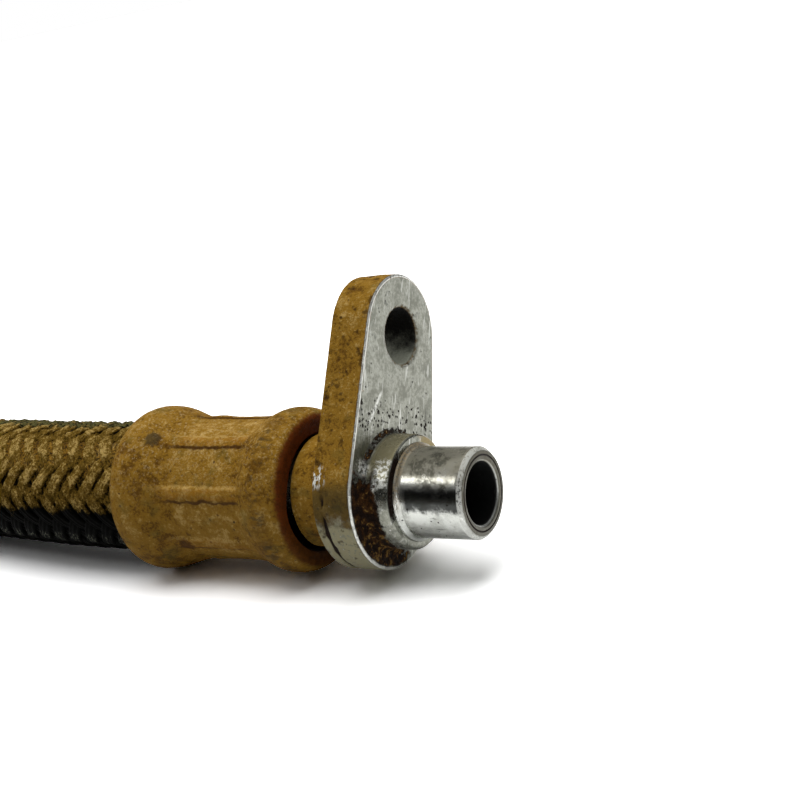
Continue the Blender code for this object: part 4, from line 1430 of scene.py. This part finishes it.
# %% Finishes onto pieces
def dress(piece, material, slot, *nodes):
    """Gives a piece its material and its place on the frame, and hides the imported nodes that it
    replaces.
    """
    piece.data.materials.append(material)
    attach(piece, "root")
    if nodes:
        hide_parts(*nodes)


muddy_sleeve = sleeve_finish()
worn_forging = forging_finish()
polished_tube = tube_finish()
for fitting, ring, tube, plate in zip(fittings, sleeves, stems, flanges):
    dress(ring, muddy_sleeve, "ferrule_steel", f"{fitting.end}_ferrule")
    dress(tube, polished_tube, "stem_steel", f"{fitting.end}_stem")
    dress(plate, worn_forging, "flange_steel", f"{fitting.end}_flange")
muddy_braid = braid_finish()
for strand in strands:
    dress(strand, muddy_braid, "braided_hose")
dress(rubber, rubber_finish(), "braided_hose", "hose")

# %% [markdown]

# %% [markdown]
# ## Floor and light
# A white sheet under soft studio light. One wide lamp hangs nearly overhead and gives the
# soft, short shadow. A small window at the upper left gives the steel its bright line.
# The sky is pale overhead and dark at the horizon in front, which gives the steel its
# dark band. The camera sees the sheet brighter than metal does, so that it stays white up
# to the shadow's core and no lamp has to grow for it.

# %% Floor
FLOOR_RADIUS = 12.0
FLOOR_COLUMNS = 96
WALL_HEIGHT = 0.6
SHEET_GREY = (0.55, 0.55, 0.54, 1.0)  # what the sheet gives back to the object
SHEET_WHITE = (1.0, 1.0, 1.0, 1.0)  # what polished metal shows of it
SHEET_SEEN = (1.5, 1.5, 1.5, 1.0)  # what is seen of it: only a deep shadow stays dark


def seen_rays(finish):
    """1 for what is seen directly, in polished metal or through something clear."""
    kinds = ("Is Camera Ray", "Is Glossy Ray", "Is Transmission Ray")
    direct, metal, clear = (finish.node("ShaderNodeLightPath", {}, {}, kind) for kind in kinds)
    return direct.larger(metal).larger(clear)


def stage_piece(name, points, faces, finish, surface):
    """A mesh that belongs to the studio and not to the object."""
    finish.feed(finish.tree.nodes["Material Output"].inputs["Surface"], surface)
    piece = add_piece(name, points, faces)
    piece.data.materials.append(finish.material)
    return piece


def add_floor():
    """A round white sheet, and a low white wall where it ends."""
    angle = np.linspace(0, 2 * math.pi, FLOOR_COLUMNS, endpoint=False)
    sheet, wall = Finish("white_sheet"), Finish("white_wall")
    direct = sheet.node("ShaderNodeLightPath", {}, {}, "Is Camera Ray")
    seen = sheet.blend(direct, SHEET_WHITE, SHEET_SEEN)
    shown = sheet.node("ShaderNodeBsdfDiffuse", {}, {"Color": seen})
    glow = wall.node("ShaderNodeEmission", {}, {"Strength": 1.0})
    radii = np.array([0.001, 0.5, 3.0, FLOOR_RADIUS])[:, None]
    heights = np.array([0.0, WALL_HEIGHT])[:, None]
    rings = {"floor": about_bore(radii, angle, 0.0), "wall": about_bore(FLOOR_RADIUS, angle, heights)}
    for (name, points), finish, bright in zip(rings.items(), (sheet, wall), (shown, glow)):
        dull = finish.node("ShaderNodeBsdfDiffuse", {}, {"Color": SHEET_GREY})
        mixed = finish.node("ShaderNodeMixShader", {}, {0: seen_rays(finish), 1: dull, 2: bright})
        faces = grid_faces(len(points), FLOOR_COLUMNS, close_columns=True)
        stage_piece(name, points, faces, finish, mixed)


add_floor()


# %% Lamps
def add_sun(name, towards, width, light):
    """A distant round lamp. Light is how brightly it alone shows a white sheet that faces
    it, and width is the angle that it fills in the sky."""
    data = bpy.data.lights.new(name, "SUN")
    data.angle = math.radians(width)
    data.energy = light * math.pi
    lamp = bpy.data.objects.new(name, data)
    lamp.rotation_euler = Vector(towards).to_track_quat("Z", "Y").to_euler()
    bpy.context.scene.collection.objects.link(lamp)
    return lamp


main_lamp = add_sun("main", (-0.1, 0.06, 0.99), 64, 0.92)
main_lamp.visible_glossy = False  # a cloth in front of it: it makes no highlight of its own
add_sun("window", (-0.52, -0.5, 0.69), 14, 0.055)


# %% Sky
ZENITH, BEHIND, HORIZON = 0.42, 0.16, 0.012


def add_sky():
    """Brightness of the sky from its direction: it grows upwards, and towards the back."""
    world = bpy.data.worlds.new("studio")
    bpy.context.scene.world = world
    world.use_nodes = True
    sky = NodeTree(world.node_tree)
    _, back, up = sky.parts(sky.node("ShaderNodeTexCoord", {}, {}, "Generated"))
    strength = up.ramp(0.35, 0.9) * ZENITH + back.ramp(-0.1, 0.6) * BEHIND + HORIZON
    background = sky.tree.nodes["Background"]
    sky.feed(background.inputs["Color"], (1, 1, 1, 1))
    sky.feed(background.inputs["Strength"], strength)


add_sky()
bpy.context.scene.view_settings.view_transform = "Standard"
